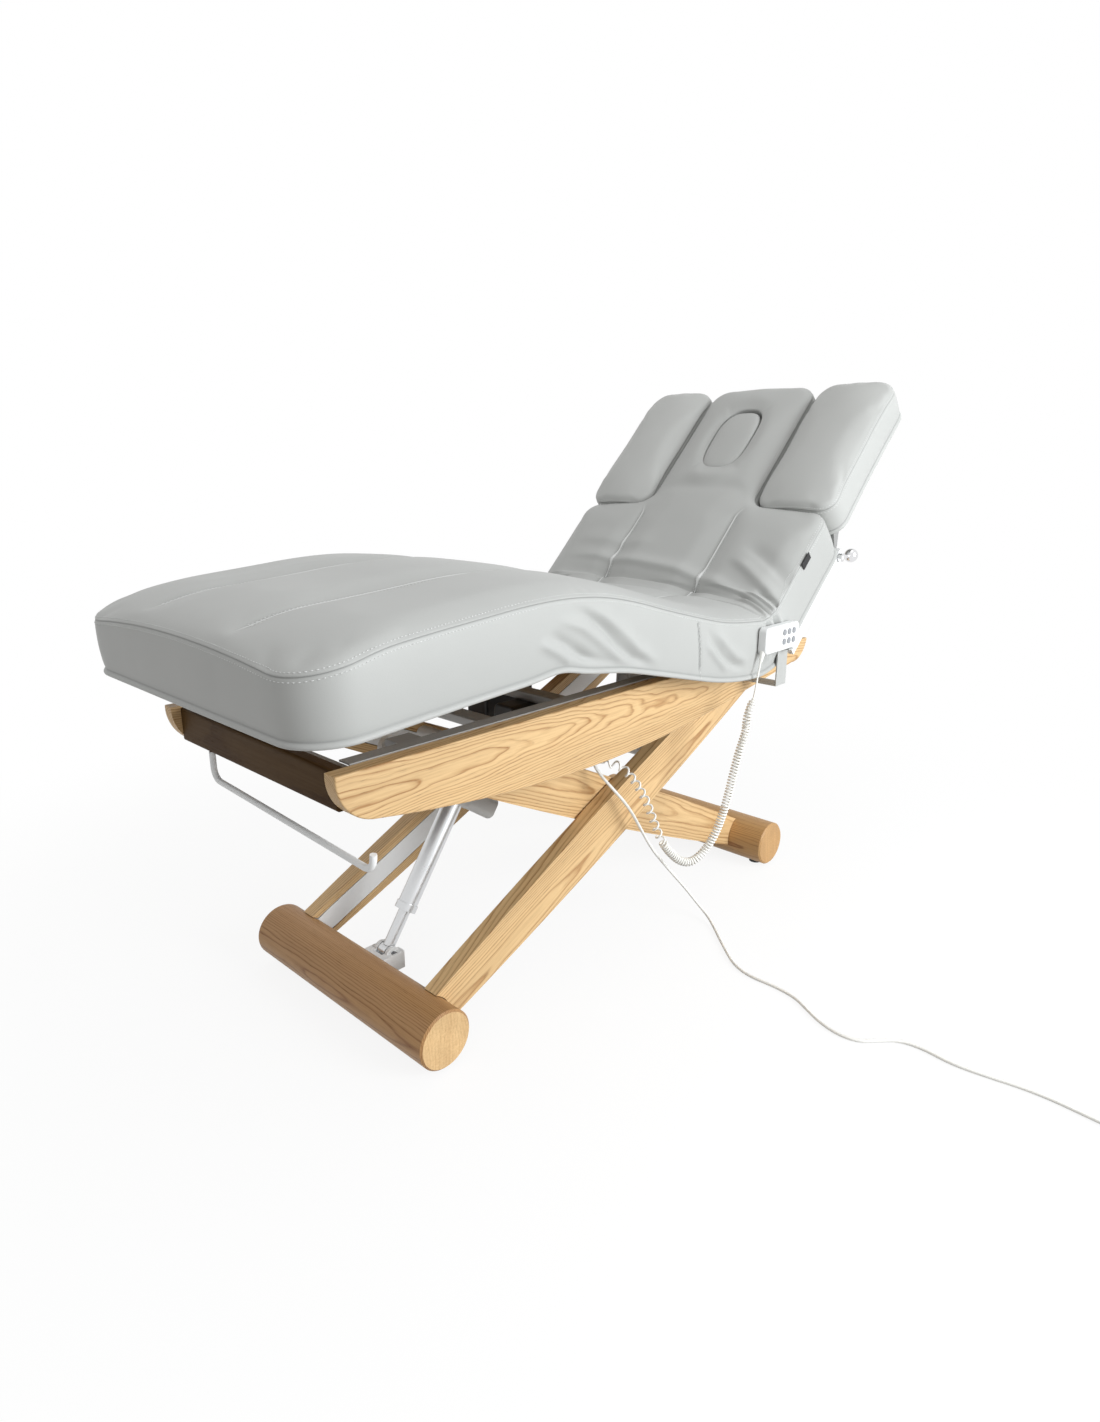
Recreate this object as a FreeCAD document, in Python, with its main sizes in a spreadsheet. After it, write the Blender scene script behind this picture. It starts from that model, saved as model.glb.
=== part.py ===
import FreeCAD, Part
import math
import os
import re

import Sketcher
from FreeCAD import Placement, Rotation, Vector

# Electric spa bed on an oak scissor stand, in millimetres.
# +X points to the head end, +Y to the sleeper's right, +Z up; Z = 0 is the floor.

DIMENSIONS = {
    # Scissor stand
    "centre_x": -52,
    "leg_half": 657.3,
    "leg_lean": 24.73,
    "beam_radius": 60,
    "beam_length": 590,
    "beam_chamfer": 4,
    "glide_height": 6,
    "glide_radius": 17,
    "glide_y": 250,
    "leg_thick": 37,
    "outer_leg_y": 217.5,
    "inner_leg_y": 175.5,
    "leg_low_width": 78,
    "leg_mid_width": 112,
    "leg_top_width": 92,
    "leg_top_reach": 545,
    "saddle_gap": 1.5,
    "core_thick": 13,
    "core_width": 50,
    "core_pocket": 14,
    "eye_radius": 20,
    "trunnion_radius": 8,
    "running_gap": 0.06,
    "stud_radius": 10,
    "stud_room": 14,
    "roller_radius": 13,
    "roller_width": 18,
    "tie_tube_radius": 19,
    "outer_tie_reach": 190,
    "inner_tie_reach": 310,
    "inner_tie_lift": 28,
    # Bed frame
    "rail_front": -848,
    "rail_rear": 652,
    "rail_top": 645,
    "rail_belly": 505,
    "rail_out": 300,
    "rail_thick": 30,
    "end_board_thick": 28,
    "end_board_height": 68,
    "channel_out": 268,
    "channel_deep": 30,
    "channel_low": 596,
    "channel_high": 51,
    "channel_wall": 3,
    "channel_front": -800,
    "channel_rear": 640,
    "hinge_z": 640,
    "thigh_hinge_x": 153,
    "back_hinge_x": 340,
    "thigh_length": 550,
    "thigh_lift": 14,
    "calf_drop": 3.5,
    "back_lift": 44,
    "back_lever_set": 35,
    "leg_lever_set": 13,
    "torsion_radius": 11,
    "thigh_arm_y": 209,
    "calf_arm_y": 143,
    "back_arm_y": 185,
    "calf_arm_length": 390,
    "cross_low": 600,
    "arm_thick": 10,
    "arm_low": -16,
    "board_low": 8,
    "board_thick": 14,
    "board_half": 305,
    # Upholstery
    "pad_top": 138,
    "seam_drop": 12,
    "edge_round": 24,
    "skirt": 20,
    "skirt_inner": 312,
    "leg_pad_half": 396,
    "seat_pad_half": 388,
    "channel_seam_y": 130,
    "channel_seam_deep": 4,
    "pad_gap": 1,
    "calf_pad_length": 546,
    "calf_corner": 76,
    "back_pad_length": 378,
    "head_pad_end": 828,
    "head_pad_half": 165,
    "arm_pad_start": 386,
    "arm_pad_end": 838,
    "arm_pad_inner": 177,
    "arm_pad_outer": 393,
    "arm_pad_thick": 105,
    "arm_axis_s": 372,
    "oval_middle": 620,
    "oval_long": 112,
    "oval_wide": 64,
    "oval_gap": 1.5,
    # Lift drive
    "lift_pin_x": -567,
    "lift_pin_z": 95,
    "lift_top_x": -314,
    "lift_top_z": 458,
    "lift_rod_radius": 13,
    "lift_tube_radius": 21.5,
    "lift_tube_start": 100,
    "lift_top_pin": 8,
    "lift_slot_room": 7,
    # Handset, holder and cords
    "handset_x": 228,
    "handset_z": 679,
    "handset_long": 153,
    "handset_tall": 62,
    "handset_thick": 20,
    "handset_back_y": -393,
    "holder_radius": 6,
    "mains_radius": 3.5,
    "coil_radius": 38.5,
    "coil_turns": 4,
    "coil_lift": 1.6,
    "wire_radius": 2.3,
    "curl_radius": 8.3,
    "dense_curls": 76,
    "open_curls": 12,
}

doc = FreeCAD.newDocument("electric_spa_bed")
sheet = doc.addObject("Spreadsheet::Sheet", "Sheet")
for row, (alias, value) in enumerate(DIMENSIONS.items(), start=1):
    sheet.set("A%d" % row, alias)
    sheet.set("B%d" % row, str(value))
    sheet.setAlias("B%d" % row, alias)
doc.recompute()

NODES = []
LEFT, RIGHT = -1, 1
SIDES = ((LEFT, "left"), (RIGHT, "right"))
AXES = {"x": Vector(1, 0, 0), "y": Vector(0, 1, 0), "z": Vector(0, 0, 1)}
TURN_Y = Vector(0, 1, 0)


# Formulas on the sheet

def number(formula):
    return float(sheet.evalExpression(str(formula)))


def linked(formula):
    """The formula as another object writes it, with the sheet's name before each alias."""
    def named(word):
        return "Sheet." + word[0] if word[0] in DIMENSIONS else word[0]
    return re.sub(r"[a-z_]+", named, str(formula))


def bind(thing, **formulas):
    for name, formula in formulas.items():
        thing.setExpression(name, linked(formula))


def place(thing, at, turn=None):
    """Puts a piece at three formulas, turned about Y by a fourth, in degrees."""
    if turn is not None:
        thing.Placement = Placement(Vector(), Rotation(TURN_Y, number(turn)))
        thing.setExpression("Placement.Rotation.Angle", linked(turn))
    for letter, formula in zip("xyz", at):
        thing.setExpression("Placement.Base." + letter, linked(formula))
    return thing


def node(label, thing):
    thing.Label = label
    NODES.append(thing)
    return thing


# Solids that the pieces are made from

def box(low, size):
    thing = doc.addObject("Part::Box", "Block")
    bind(thing, Length=size[0], Width=size[1], Height=size[2])
    return place(thing, low)


def rod(radius, length, start, axis="y", tip_radius=None):
    """A round bar from a start point along an axis, or a taper where a tip radius is given."""
    kind = "Part::Cylinder" if tip_radius is None else "Part::Cone"
    thing = doc.addObject(kind, "Round")
    thing.Placement = Placement(Vector(), Rotation(AXES["z"], AXES[axis]))
    if tip_radius is None:
        bind(thing, Radius=radius, Height=length)
    else:
        bind(thing, Radius1=radius, Radius2=tip_radius, Height=length)
    return place(thing, start)


def ball(radius, centre):
    thing = doc.addObject("Part::Sphere", "Ball")
    bind(thing, Radius=radius)
    return place(thing, centre)


def fuse(*things):
    thing = doc.addObject("Part::MultiFuse", "Welded")
    thing.Shapes = list(things)
    thing.Refine = True
    return thing


def cut(base, *tools):
    thing = doc.addObject("Part::Cut", "Machined")
    thing.Base = base
    thing.Tool = tools[0] if len(tools) == 1 else fuse(*tools)
    return thing


def common(first, *others):
    for other in others:
        thing = doc.addObject("Part::Common", "Shaped")
        thing.Base = first
        thing.Tool = other
        first = thing
    return first


def group(*things):
    thing = doc.addObject("Part::Compound", "Set")
    thing.Links = list(things)
    return thing


def soften(base, radius, chosen):
    """Rounds the edges of a solid that the chosen test accepts."""
    doc.recompute()
    value = number(radius)
    thing = doc.addObject("Part::Fillet", "Softened")
    thing.Base = base
    thing.Edges = [(i, value, value) for i, edge in enumerate(base.Shape.Edges, start=1) if chosen(edge)]
    return thing


def along(axis):
    """A test for straight edges that run along an axis."""
    def runs(edge):
        if not isinstance(edge.Curve, Part.Line):
            return False
        return abs(edge.Curve.Direction.dot(AXES[axis])) > 0.999
    return runs


def bow(first, via, last):
    """A flat arc through three points, anticlockwise as sketches keep it, and whether that runs forward."""
    forward = (via - first).cross(last - via).z > 0
    circle = Part.Arc(first, via, last).toShape().Curve
    start, finish = (first, last) if forward else (last, first)
    angles = [math.atan2(point.y - circle.Center.y, point.x - circle.Center.x) for point in (start, finish)]
    if angles[1] <= angles[0]:
        angles[1] += 2 * math.pi
    return Part.ArcOfCircle(Part.Circle(circle.Center, AXES["z"], circle.Radius), *angles), forward


def slab(corners, thickness, plane="XZ_Plane"):
    """A plate of an outline, centred on a plane. A corner is (x, y) where a straight side follows it,
    or (x, y, via_x, via_y) where an arc through the via point does."""
    body = doc.addObject("PartDesign::Body", "Plate")
    support = [item for item in body.Origin.OriginFeatures if item.Role == plane][0]
    sketch = body.newObject("Sketcher::SketchObject", "Outline")
    sketch.AttachmentSupport = (support, [""])
    sketch.MapMode = "FlatFace"
    points = [Vector(number(corner[0]), number(corner[1]), 0) for corner in corners]
    starts = []
    finishes = []
    for index, corner in enumerate(corners):
        first, last = points[index], points[(index + 1) % len(points)]
        side, forward = Part.LineSegment(first, last), True
        if len(corner) == 4:
            side, forward = bow(first, Vector(number(corner[2]), number(corner[3]), 0), last)
        edge = sketch.addGeometry(side, False)
        starts.append((edge, 1 if forward else 2))
        finishes.append((edge, 2 if forward else 1))
    for index, corner in enumerate(corners):
        edge, end = starts[index]
        before, before_end = finishes[index - 1]
        sketch.addConstraint(Sketcher.Constraint("Coincident", before, before_end, edge, end))
        for kind, formula in (("DistanceX", corner[0]), ("DistanceY", corner[1])):
            constraint = Sketcher.Constraint(kind, -1, 1, edge, end, number(formula))
            place_in_list = sketch.addConstraint(constraint)
            sketch.setExpression("Constraints[%d]" % place_in_list, linked(formula))
    pad = body.newObject("PartDesign::Pad", "Pad")
    pad.Profile = sketch
    pad.SideType = "Symmetric"
    bind(pad, Length=thickness)
    return body


def oval(half_long, half_wide, low, high, middle):
    """An upright oval post, long along X."""
    thing = doc.addObject("Part::Ellipse", "OvalLine")
    bind(thing, MajorRadius=half_long, MinorRadius=half_wide)
    place(thing, (middle, 0, low))
    post = doc.addObject("Part::Extrusion", "OvalPost")
    post.Base = thing
    post.DirMode = "Custom"
    post.Dir = AXES["z"]
    post.Solid = True
    bind(post, LengthFwd="(%s) - (%s)" % (high, low))
    return post


# Where the main axes lie

BEAM_Z = "beam_radius + glide_height"
FRONT_X = "centre_x - leg_half * cos(leg_lean)"
REAR_X = "centre_x + leg_half * cos(leg_lean)"
PIVOT_Z = BEAM_Z + " + leg_half * sin(leg_lean)"
TOP_PIVOT_Z = BEAM_Z + " + 2 * leg_half * sin(leg_lean)"
KNEE_X = "thigh_hinge_x - thigh_length * cos(thigh_lift)"
KNEE_Z = "hinge_z + thigh_length * sin(thigh_lift)"
OUTER_TURN = "0 - leg_lean"
INNER_TURN = "180 + leg_lean"


# Scissor stand

def leg_wood(y_mid, room_for_stud):
    """Oak leg in its own line, from its saddle on the foot beam to its round top, hollowed for the core."""
    low_end = "sqrt((beam_radius + saddle_gap)^2 - (leg_low_width / 2)^2) - leg_half"
    half_low, half_mid, half_top = "leg_low_width / 2", "leg_mid_width / 2", "leg_top_width / 2"
    outline = [
        (low_end, half_low, 0, half_mid),
        ("leg_top_reach", half_top, "leg_top_reach + 24", 0),
        ("leg_top_reach", "0 - " + half_top, 0, "0 - " + half_mid),
        (low_end, "0 - " + half_low, "beam_radius + saddle_gap - leg_half", 0),
    ]
    inner_face = "leg_thick / 2 - core_pocket" if y_mid < 0 else "0 - leg_thick / 2 - 1"
    pocket = box(("0 - leg_half", inner_face, "0 - core_width / 2 - 2"),
                 ("2 * leg_half", "core_pocket + 1", "core_width + 4"))
    tools = [pocket]
    if room_for_stud:
        tools.append(rod("stud_room", "leg_thick + 2", (0, "0 - leg_thick / 2 - 1", 0)))
    return cut(slab(outline, "leg_thick"), *tools)


def leg_core(hole_at_top, hole_at_middle):
    """Steel flat inside a leg, with an eye at each end, along its own line."""
    half, reach = "core_width / 2", "leg_half - 90"
    outline = [
        ("0 - leg_half", "eye_radius"),
        ("0 - (%s)" % reach, half),
        (reach, half),
        ("leg_half", "eye_radius", "leg_half + eye_radius", 0),
        ("leg_half", "0 - eye_radius"),
        (reach, "0 - " + half),
        ("0 - (%s)" % reach, "0 - " + half),
        ("0 - leg_half", "0 - eye_radius", "0 - leg_half - eye_radius", 0),
    ]
    flat = slab(outline, "core_thick")
    through = ("core_thick + 2", "0 - core_thick / 2 - 1")
    tools = []
    if hole_at_top:
        tools.append(rod("trunnion_radius + running_gap", through[0], ("leg_half", through[1], 0)))
    if hole_at_middle:
        tools.append(rod("stud_room", through[0], (0, through[1], 0)))
    return cut(flat, *tools) if tools else flat


def core_y(leg_y, side):
    """Middle of a core's thickness: the core lies flush with the inner face of its leg."""
    return "%d * (%s - leg_thick / 2 + core_thick / 2)" % (side, leg_y)


def outer_legs():
    cores = []
    for side, name in SIDES:
        wood = leg_wood(side, False)
        place(wood, ("centre_x", "%d * outer_leg_y" % side, PIVOT_Z), OUTER_TURN)
        node("outer_leg_" + name, wood)
        inner = "core_thick / 2"
        stud_long = "outer_leg_y - inner_leg_y + 4"
        axle_long = "channel_out - outer_leg_y - 1"
        stud_y = inner if side == LEFT else "0 - core_thick / 2 - (%s)" % stud_long
        axle_y = "0 - core_thick / 2 - (%s)" % axle_long if side == LEFT else inner
        trunnion = rod("trunnion_radius", "core_thick + 40", ("0 - leg_half", "0 - core_thick / 2 - 20", 0))
        stud = rod("stud_radius", stud_long, (0, stud_y, 0))
        axle = rod("trunnion_radius", axle_long, ("leg_half", axle_y, 0))
        core = fuse(leg_core(False, False), trunnion, stud, axle)
        cores.append(place(core, ("centre_x", core_y("outer_leg_y", side), PIVOT_Z), OUTER_TURN))
    inside = "outer_leg_y - leg_thick / 2"
    tie = rod("tie_tube_radius", "2 * (%s)" % inside, (
        "centre_x + outer_tie_reach * cos(leg_lean)", "0 - (%s)" % inside,
        PIVOT_Z + " + outer_tie_reach * sin(leg_lean)"))
    node("outer_leg_frame", group(*cores, tie))
    rollers = []
    for side, name in SIDES:
        low_y = "%d * (channel_out - 6)" % side if side == LEFT else "channel_out - 6 - roller_width"
        tyre = rod("roller_radius", "roller_width", (REAR_X, low_y, TOP_PIVOT_Z))
        bore_at = (REAR_X, low_y + " - 1", TOP_PIVOT_Z)
        bore = rod("trunnion_radius + running_gap", "roller_width + 2", bore_at)
        rollers.append(cut(tyre, bore))
    node("rear_rollers", group(*rollers))


def inner_legs():
    cores = []
    for side, name in SIDES:
        wood = leg_wood(side, True)
        place(wood, ("centre_x", "%d * inner_leg_y" % side, PIVOT_Z), INNER_TURN)
        node("inner_leg_" + name, wood)
        trunnion = rod("trunnion_radius", "core_thick + 40", ("0 - leg_half", "0 - core_thick / 2 - 20", 0))
        core = fuse(leg_core(True, True), trunnion)
        cores.append(place(core, ("centre_x", core_y("inner_leg_y", side), PIVOT_Z), INNER_TURN))
    # Tie tube with the two ears that the lift drive's top pin turns in
    inside = "inner_leg_y - leg_thick / 2"
    tie_x = "centre_x - inner_tie_reach * cos(leg_lean) + inner_tie_lift * sin(leg_lean)"
    tie_z = PIVOT_Z + " + inner_tie_reach * sin(leg_lean) + inner_tie_lift * cos(leg_lean)"
    pieces = [rod("tie_tube_radius", "2 * (%s)" % inside, (tie_x, "0 - (%s)" % inside, tie_z))]
    for side, name in SIDES:
        ear = slab([
            ("lift_top_x - 25", "lift_top_z", "lift_top_x", "lift_top_z - 25"),
            ("lift_top_x + 25", "lift_top_z"),
            (tie_x + " + 17", tie_z),
            (tie_x + " - 17", tie_z),
        ], 8)
        slot = rod("lift_top_pin + lift_slot_room", 10, ("lift_top_x", -5, "lift_top_z"))
        pieces.append(place(cut(ear, slot), (0, 33 * side, 0)))
    node("inner_leg_frame", group(*cores, fuse(*pieces)))


def foot_beam(label, x, leg_y, lean_turn):
    """Round oak foot, slotted for the two leg eyes and bored for their trunnions."""
    bar = rod("beam_radius", "beam_length", (x, "0 - beam_length / 2", BEAM_Z))
    doc.recompute()
    eased = doc.addObject("Part::Chamfer", "Eased")
    eased.Base = bar
    rim = number("beam_chamfer")
    eased.Edges = [(i, rim, rim) for i, e in enumerate(bar.Shape.Edges, start=1) if len(e.Vertexes) == 1]
    tools = []
    for side, name in SIDES:
        eye_room = box((-24, "0 - core_thick / 2 - 1", -34), ("beam_radius + 30", "core_thick + 2", 68))
        tools.append(place(group(eye_room), (x, core_y(leg_y, side), BEAM_Z), lean_turn))
        bore_y = "(%s) - core_thick / 2 - 20.5" % core_y(leg_y, side)
        tools.append(rod("trunnion_radius + running_gap", "core_thick + 41", (x, bore_y, BEAM_Z)))
    node(label, cut(eased, *tools))


def glides(label, x):
    feet = []
    for side, name in SIDES:
        disc_at = (x, "%d * glide_y" % side, 0)
        disc = rod("glide_radius", "glide_height + 8", disc_at, "z", "glide_radius - 2")
        seat_y = "%d * glide_y - glide_radius - 2" % side
        seat = rod("beam_radius", "2 * glide_radius + 4", (x, seat_y, BEAM_Z))
        feet.append(cut(disc, seat))
    node(label, group(*feet))


def lift_clevis():
    """White steel bracket on the foot beam that carries the lift rod's lower eye on its pin."""
    base = box(("lift_pin_x - 40", -34, "lift_pin_z - 34"), (62, 68, 40))
    hollow = rod("beam_radius", 80, (FRONT_X, -40, BEAM_Z))
    gap = box(("lift_pin_x - 22", -14, "lift_pin_z - 22"), (64, 28, 60))
    ears = []
    for side, name in SIDES:
        ear = slab([
            ("lift_pin_x - 21", "lift_pin_z - 20"),
            ("lift_pin_x + 16", "lift_pin_z - 20"),
            ("lift_pin_x + 17", "lift_pin_z", "lift_pin_x", "lift_pin_z + 17"),
            ("lift_pin_x - 17", "lift_pin_z"),
        ], 8)
        ears.append(place(ear, (0, 18.5 * side, 0)))
    pin = rod(7, 50, ("lift_pin_x", -25, "lift_pin_z"))
    node("lift_clevis", fuse(cut(base, hollow, gap), *ears, pin))


# Lift drive, built upright and leaned to its line

LIFT_LENGTH = "sqrt((lift_top_x - lift_pin_x)^2 + (lift_top_z - lift_pin_z)^2)"
LIFT_TURN = "atan((lift_top_x - lift_pin_x) / (lift_top_z - lift_pin_z))"
LIFT_FOOT = ("lift_pin_x", 0, "lift_pin_z")


def lift_drive():
    eye = rod(16, 22, (0, -11, 0))
    shaft = rod("lift_rod_radius", 290, (0, 0, 12), "z")
    bore = rod("7 + running_gap", 24, (0, -12, 0))
    node("lift_rod", place(cut(fuse(eye, shaft), bore), LIFT_FOOT, LIFT_TURN))
    top = LIFT_LENGTH
    tube = rod("lift_tube_radius", top + " - lift_tube_start - 50", (0, 0, "lift_tube_start"), "z")
    collar = rod("lift_tube_radius + 2.5", 16, (0, 0, "lift_tube_start - 6"), "z")
    hollow_long = top + " - lift_tube_start - 70"
    hollow = rod("lift_rod_radius + 0.4", hollow_long, (0, 0, "lift_tube_start - 10"), "z")
    node("lift_tube", place(cut(fuse(tube, collar), hollow), LIFT_FOOT, LIFT_TURN))
    # Gear housing with its top eye, and the motor that stands out square to the tube
    housing = soften(box((-27, -25, top + " - 98"), (52, 50, 80)), 10, along("x"))
    socket = rod("lift_tube_radius", 60, (0, 0, top + " - 110"), "z")
    neck = soften(box((-14, -13, top + " - 20"), (28, 26, 20)), 4, along("z"))
    top_eye = rod(14, 26, (0, -13, top))
    pin = rod("lift_top_pin", 78, (0, -39, top))
    motor = soften(box((20, -23, top + " - 96"), (97, 46, 52)), 16, along("x"))
    motor = soften(motor, 5, ends_of("x", 117))
    shell = cut(fuse(housing, motor), socket)
    node("lift_motor", place(fuse(shell, neck, top_eye, pin), LIFT_FOOT, LIFT_TURN))


def ends_of(axis, value):
    """A test for edges that lie wholly in a plane across an axis."""
    def lies(edge):
        return all(abs(vertex.Point.dot(AXES[axis]) - value) < 0.01 for vertex in edge.Vertexes)
    return lies


# Bed frame

def rails():
    outline = [
        ("rail_front", "rail_top", "rail_front + 20", "rail_top - 62"),
        ("rail_front + 66", "rail_belly + 51", "rail_front + 595", "rail_belly"),
        ("rail_front + 1144", "rail_belly + 42"),
        ("rail_rear - 74", "rail_belly + 83", "rail_rear - 19", "rail_top - 37"),
        ("rail_rear", "rail_top"),
    ]
    for side, name in SIDES:
        plank = place(slab(outline, "rail_thick"), (0, "%d * (rail_out - rail_thick / 2)" % side, 0))
        outer = side * number("rail_out")
        node("rail_" + name, soften(plank, 3, ends_of("y", outer)))


def end_board():
    inner = "rail_out - rail_thick - 0.5"
    board = box(("rail_front + 18", "0 - (%s)" % inner, "rail_top - end_board_height - 4"),
                ("end_board_thick", "2 * (%s)" % inner, "end_board_height"))
    node("end_board", soften(board, 6, along("y")))


def side_channels():
    members = []
    for side, name in SIDES:
        low_y = "0 - channel_out" if side == LEFT else "channel_out - channel_deep"
        bar = box(("channel_front", low_y, "channel_low"),
                  ("channel_rear - channel_front", "channel_deep", "channel_high"))
        room_y = "0 - channel_out + channel_wall" if side == LEFT else "channel_out - channel_deep - 1"
        room = box(("channel_front - 1", room_y, "channel_low + channel_wall"),
                   ("channel_rear - channel_front + 2", "channel_deep - channel_wall + 1",
                    "channel_high - 2 * channel_wall"))
        members.append(cut(bar, room))
    node("side_channels", group(*members))


def frame_members():
    """Cross tubes between the channels, and the brackets that carry the legs and the hinges."""
    inner = "channel_out - channel_deep"
    pieces = []
    tubes = (("channel_front + 14", 583, 26, 36), (-440, "cross_low", 40, 20), (-222, "cross_low", 40, 20))
    for x, low, wide, tall in tubes:
        shell = box((x, "0 - (%s)" % inner, low), (wide, "2 * (%s)" % inner, tall))
        pieces.append(soften(shell, 4, along("y")))
    for side, name in SIDES:
        bracket_y = "0 - (%s)" % inner if side == LEFT else "inner_leg_y + 14.5"
        block = box((FRONT_X + " - 26", bracket_y, TOP_PIVOT_Z + " - 26"),
                    (52, inner + " - inner_leg_y - 14.5", 52))
        pin_y = "0 - inner_leg_y - 14.5" if side == LEFT else "inner_leg_y - leg_thick / 2 - 2"
        pin = rod("trunnion_radius", "leg_thick / 2 + 16.5", (FRONT_X, pin_y, TOP_PIVOT_Z))
        pieces.append(fuse(block, pin))
        for x, arm_y in (("thigh_hinge_x", "thigh_arm_y"), ("back_hinge_x", "back_arm_y")):
            hinge_y = "0 - (%s)" % inner if side == LEFT else "%s - 22" % inner
            lug = slab([
                (x + " - 22", "channel_low + 10"),
                (x + " + 22", "channel_low + 10"),
                (x + " + 17", "hinge_z", x, "hinge_z + 17"),
                (x + " - 17", "hinge_z"),
            ], 22)
            place(lug, (0, hinge_y + " + 11", 0))
            pin_end = "%s - arm_thick / 2" % arm_y
            stub_y = "0 - (%s)" % inner if side == LEFT else pin_end
            pin = rod("trunnion_radius", "%s - (%s)" % (inner, pin_end), (x, stub_y, "hinge_z"))
            pieces.append(fuse(lug, pin))
    node("frame_members", group(*pieces))


def section_arms(x_sign, length, arm_y):
    """Pair of flat steel arms under a section, from its hinge eye outwards."""
    arms = []
    for side, name in SIDES:
        far = "%d * (%s)" % (x_sign, length)
        arm = slab([
            (0, "board_low", "%d * 18" % -x_sign, 0),
            (0, "arm_low"),
            (far, "arm_low", "%s + %d * 12" % (far, x_sign), "(board_low + arm_low) / 2"),
            (far, "board_low"),
            ("%d * 78" % x_sign, "board_low"),
            ("%d * 20" % x_sign, 1),
        ], "arm_thick")
        bore = rod("trunnion_radius + running_gap", "arm_thick + 2", (0, "0 - arm_thick / 2 - 1", 0))
        arms.append(place(cut(arm, bore), (0, "%d * %s" % (side, arm_y), 0)))
    return arms


def torsion_tube(arm_y):
    """Tube on the hinge axis that joins the two arms and carries the drive's lever."""
    half = "%s - arm_thick / 2" % arm_y
    return rod("torsion_radius", "2 * (%s)" % half, (0, "0 - (%s)" % half, 0))


def drive_lever(radius, lean, y_mid, slot_long):
    """Pair of slotted plates below a hinge that a drive's rod end pushes."""
    plates = []
    foot = "0 - (%s) - %s" % (radius, slot_long)
    for offset in (-17, 17):
        plate = slab([
            (-18, 6, 0, 19),
            (18, 6),
            (23, foot, 0, foot + " - 23"),
            (-23, foot),
        ], 7)
        slot = slab([
            (-15, "0 - (%s)" % radius, 0, "15 - (%s)" % radius),
            (15, "0 - (%s)" % radius),
            (15, foot, 0, foot + " - 15"),
            (-15, foot),
        ], 10)
        bore = rod("torsion_radius", 10, (0, -5, 0))
        plates.append(place(cut(plate, slot, bore), (0, "%s + %d" % (y_mid, offset), 0), lean))
    return plates


def drive(label, y_mid, tail_x, tip_x, axis_drop, low, draw_in):
    """Straight drive under the frame: a motor housing with its tube, and the rod that slides in it."""
    z = "hinge_z - %d" % axis_drop
    bottom = "%s - %d" % (z, low)
    shell = soften(box((tail_x, y_mid - 34, bottom), (150, 68, "cross_low - (%s)" % bottom)), 16, along("x"))
    shell = soften(shell, 6, ends_of("x", tail_x))
    tube = rod(18, tip_x - tail_x - 300, (tail_x + 140, y_mid, z), "x")
    hollow = rod(12.5, tip_x - tail_x - 190, (tail_x + 40, y_mid, z), "x")
    node(label + "_drive", cut(fuse(shell, tube), hollow))
    tail = tail_x + 46 + draw_in
    shaft = rod(12, tip_x - tail, (tail, y_mid, z), "x")
    tongue = soften(box((tip_x - 16, y_mid - 11, z + " - 14"), (32, 22, 28)), 12, along("y"))
    pin = rod(5, 44, (tip_x, y_mid - 22, z))
    node(label + "_drive_rod", fuse(shaft, tongue, pin))


# Upholstery

def pad_section(half, length, middle_x):
    """Cross-section of a pad: upright sides, rounded shoulders, a crowned top and two sewn channels."""
    top = "(pad_top - 0.5)"
    shoulder = top + " - seam_drop"
    rise = "(%s - seam_drop * (channel_seam_y / (%s))^2)" % (top, half)
    flank = top + " - seam_drop * 0.36"
    seam, deep = "channel_seam_y", "channel_seam_deep"
    inset = "(%s) - edge_round" % half
    wide = "(%s) + 2" % half
    round_y = "(%s) - edge_round * 0.25" % half
    round_z = shoulder + " - edge_round * 0.2"
    outline = [
        ("0 - (%s)" % wide, -60),
        ("0 - (%s)" % wide, shoulder + " - edge_round * 0.8", "0 - (%s)" % round_y, round_z),
        ("0 - (%s)" % inset, shoulder, "0 - (%s) * 0.62" % half, flank),
        ("0 - %s - 6" % seam, rise),
        ("0 - %s" % seam, rise + " - " + deep),
        ("0 - %s + 6" % seam, rise, 0, top),
        ("%s - 6" % seam, rise),
        (seam, rise + " - " + deep),
        ("%s + 6" % seam, rise, "(%s) * 0.62" % half, flank),
        (inset, shoulder, round_y, round_z),
        (wide, shoulder + " - edge_round * 0.8"),
        (wide, -60),
    ]
    return place(slab(outline, length, "YZ_Plane"), (middle_x, 0, 0))


def recess(start, finish, high):
    """Room under a pad for its board and arms."""
    return box((start, "0 - skirt_inner", -70),
               ("(%s) - (%s)" % (finish, start), "2 * skirt_inner", "70 + (%s)" % high))


BOARD_TOP = "board_low + board_thick + 0.3"


def turned(radius, degrees, x_sign=1):
    """A point at a radius and an angle above the local X line, as two formulas."""
    return "%d * (%s) * cos(%s)" % (x_sign, radius, degrees), "(%s) * sin(%s)" % (radius, degrees)


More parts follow.
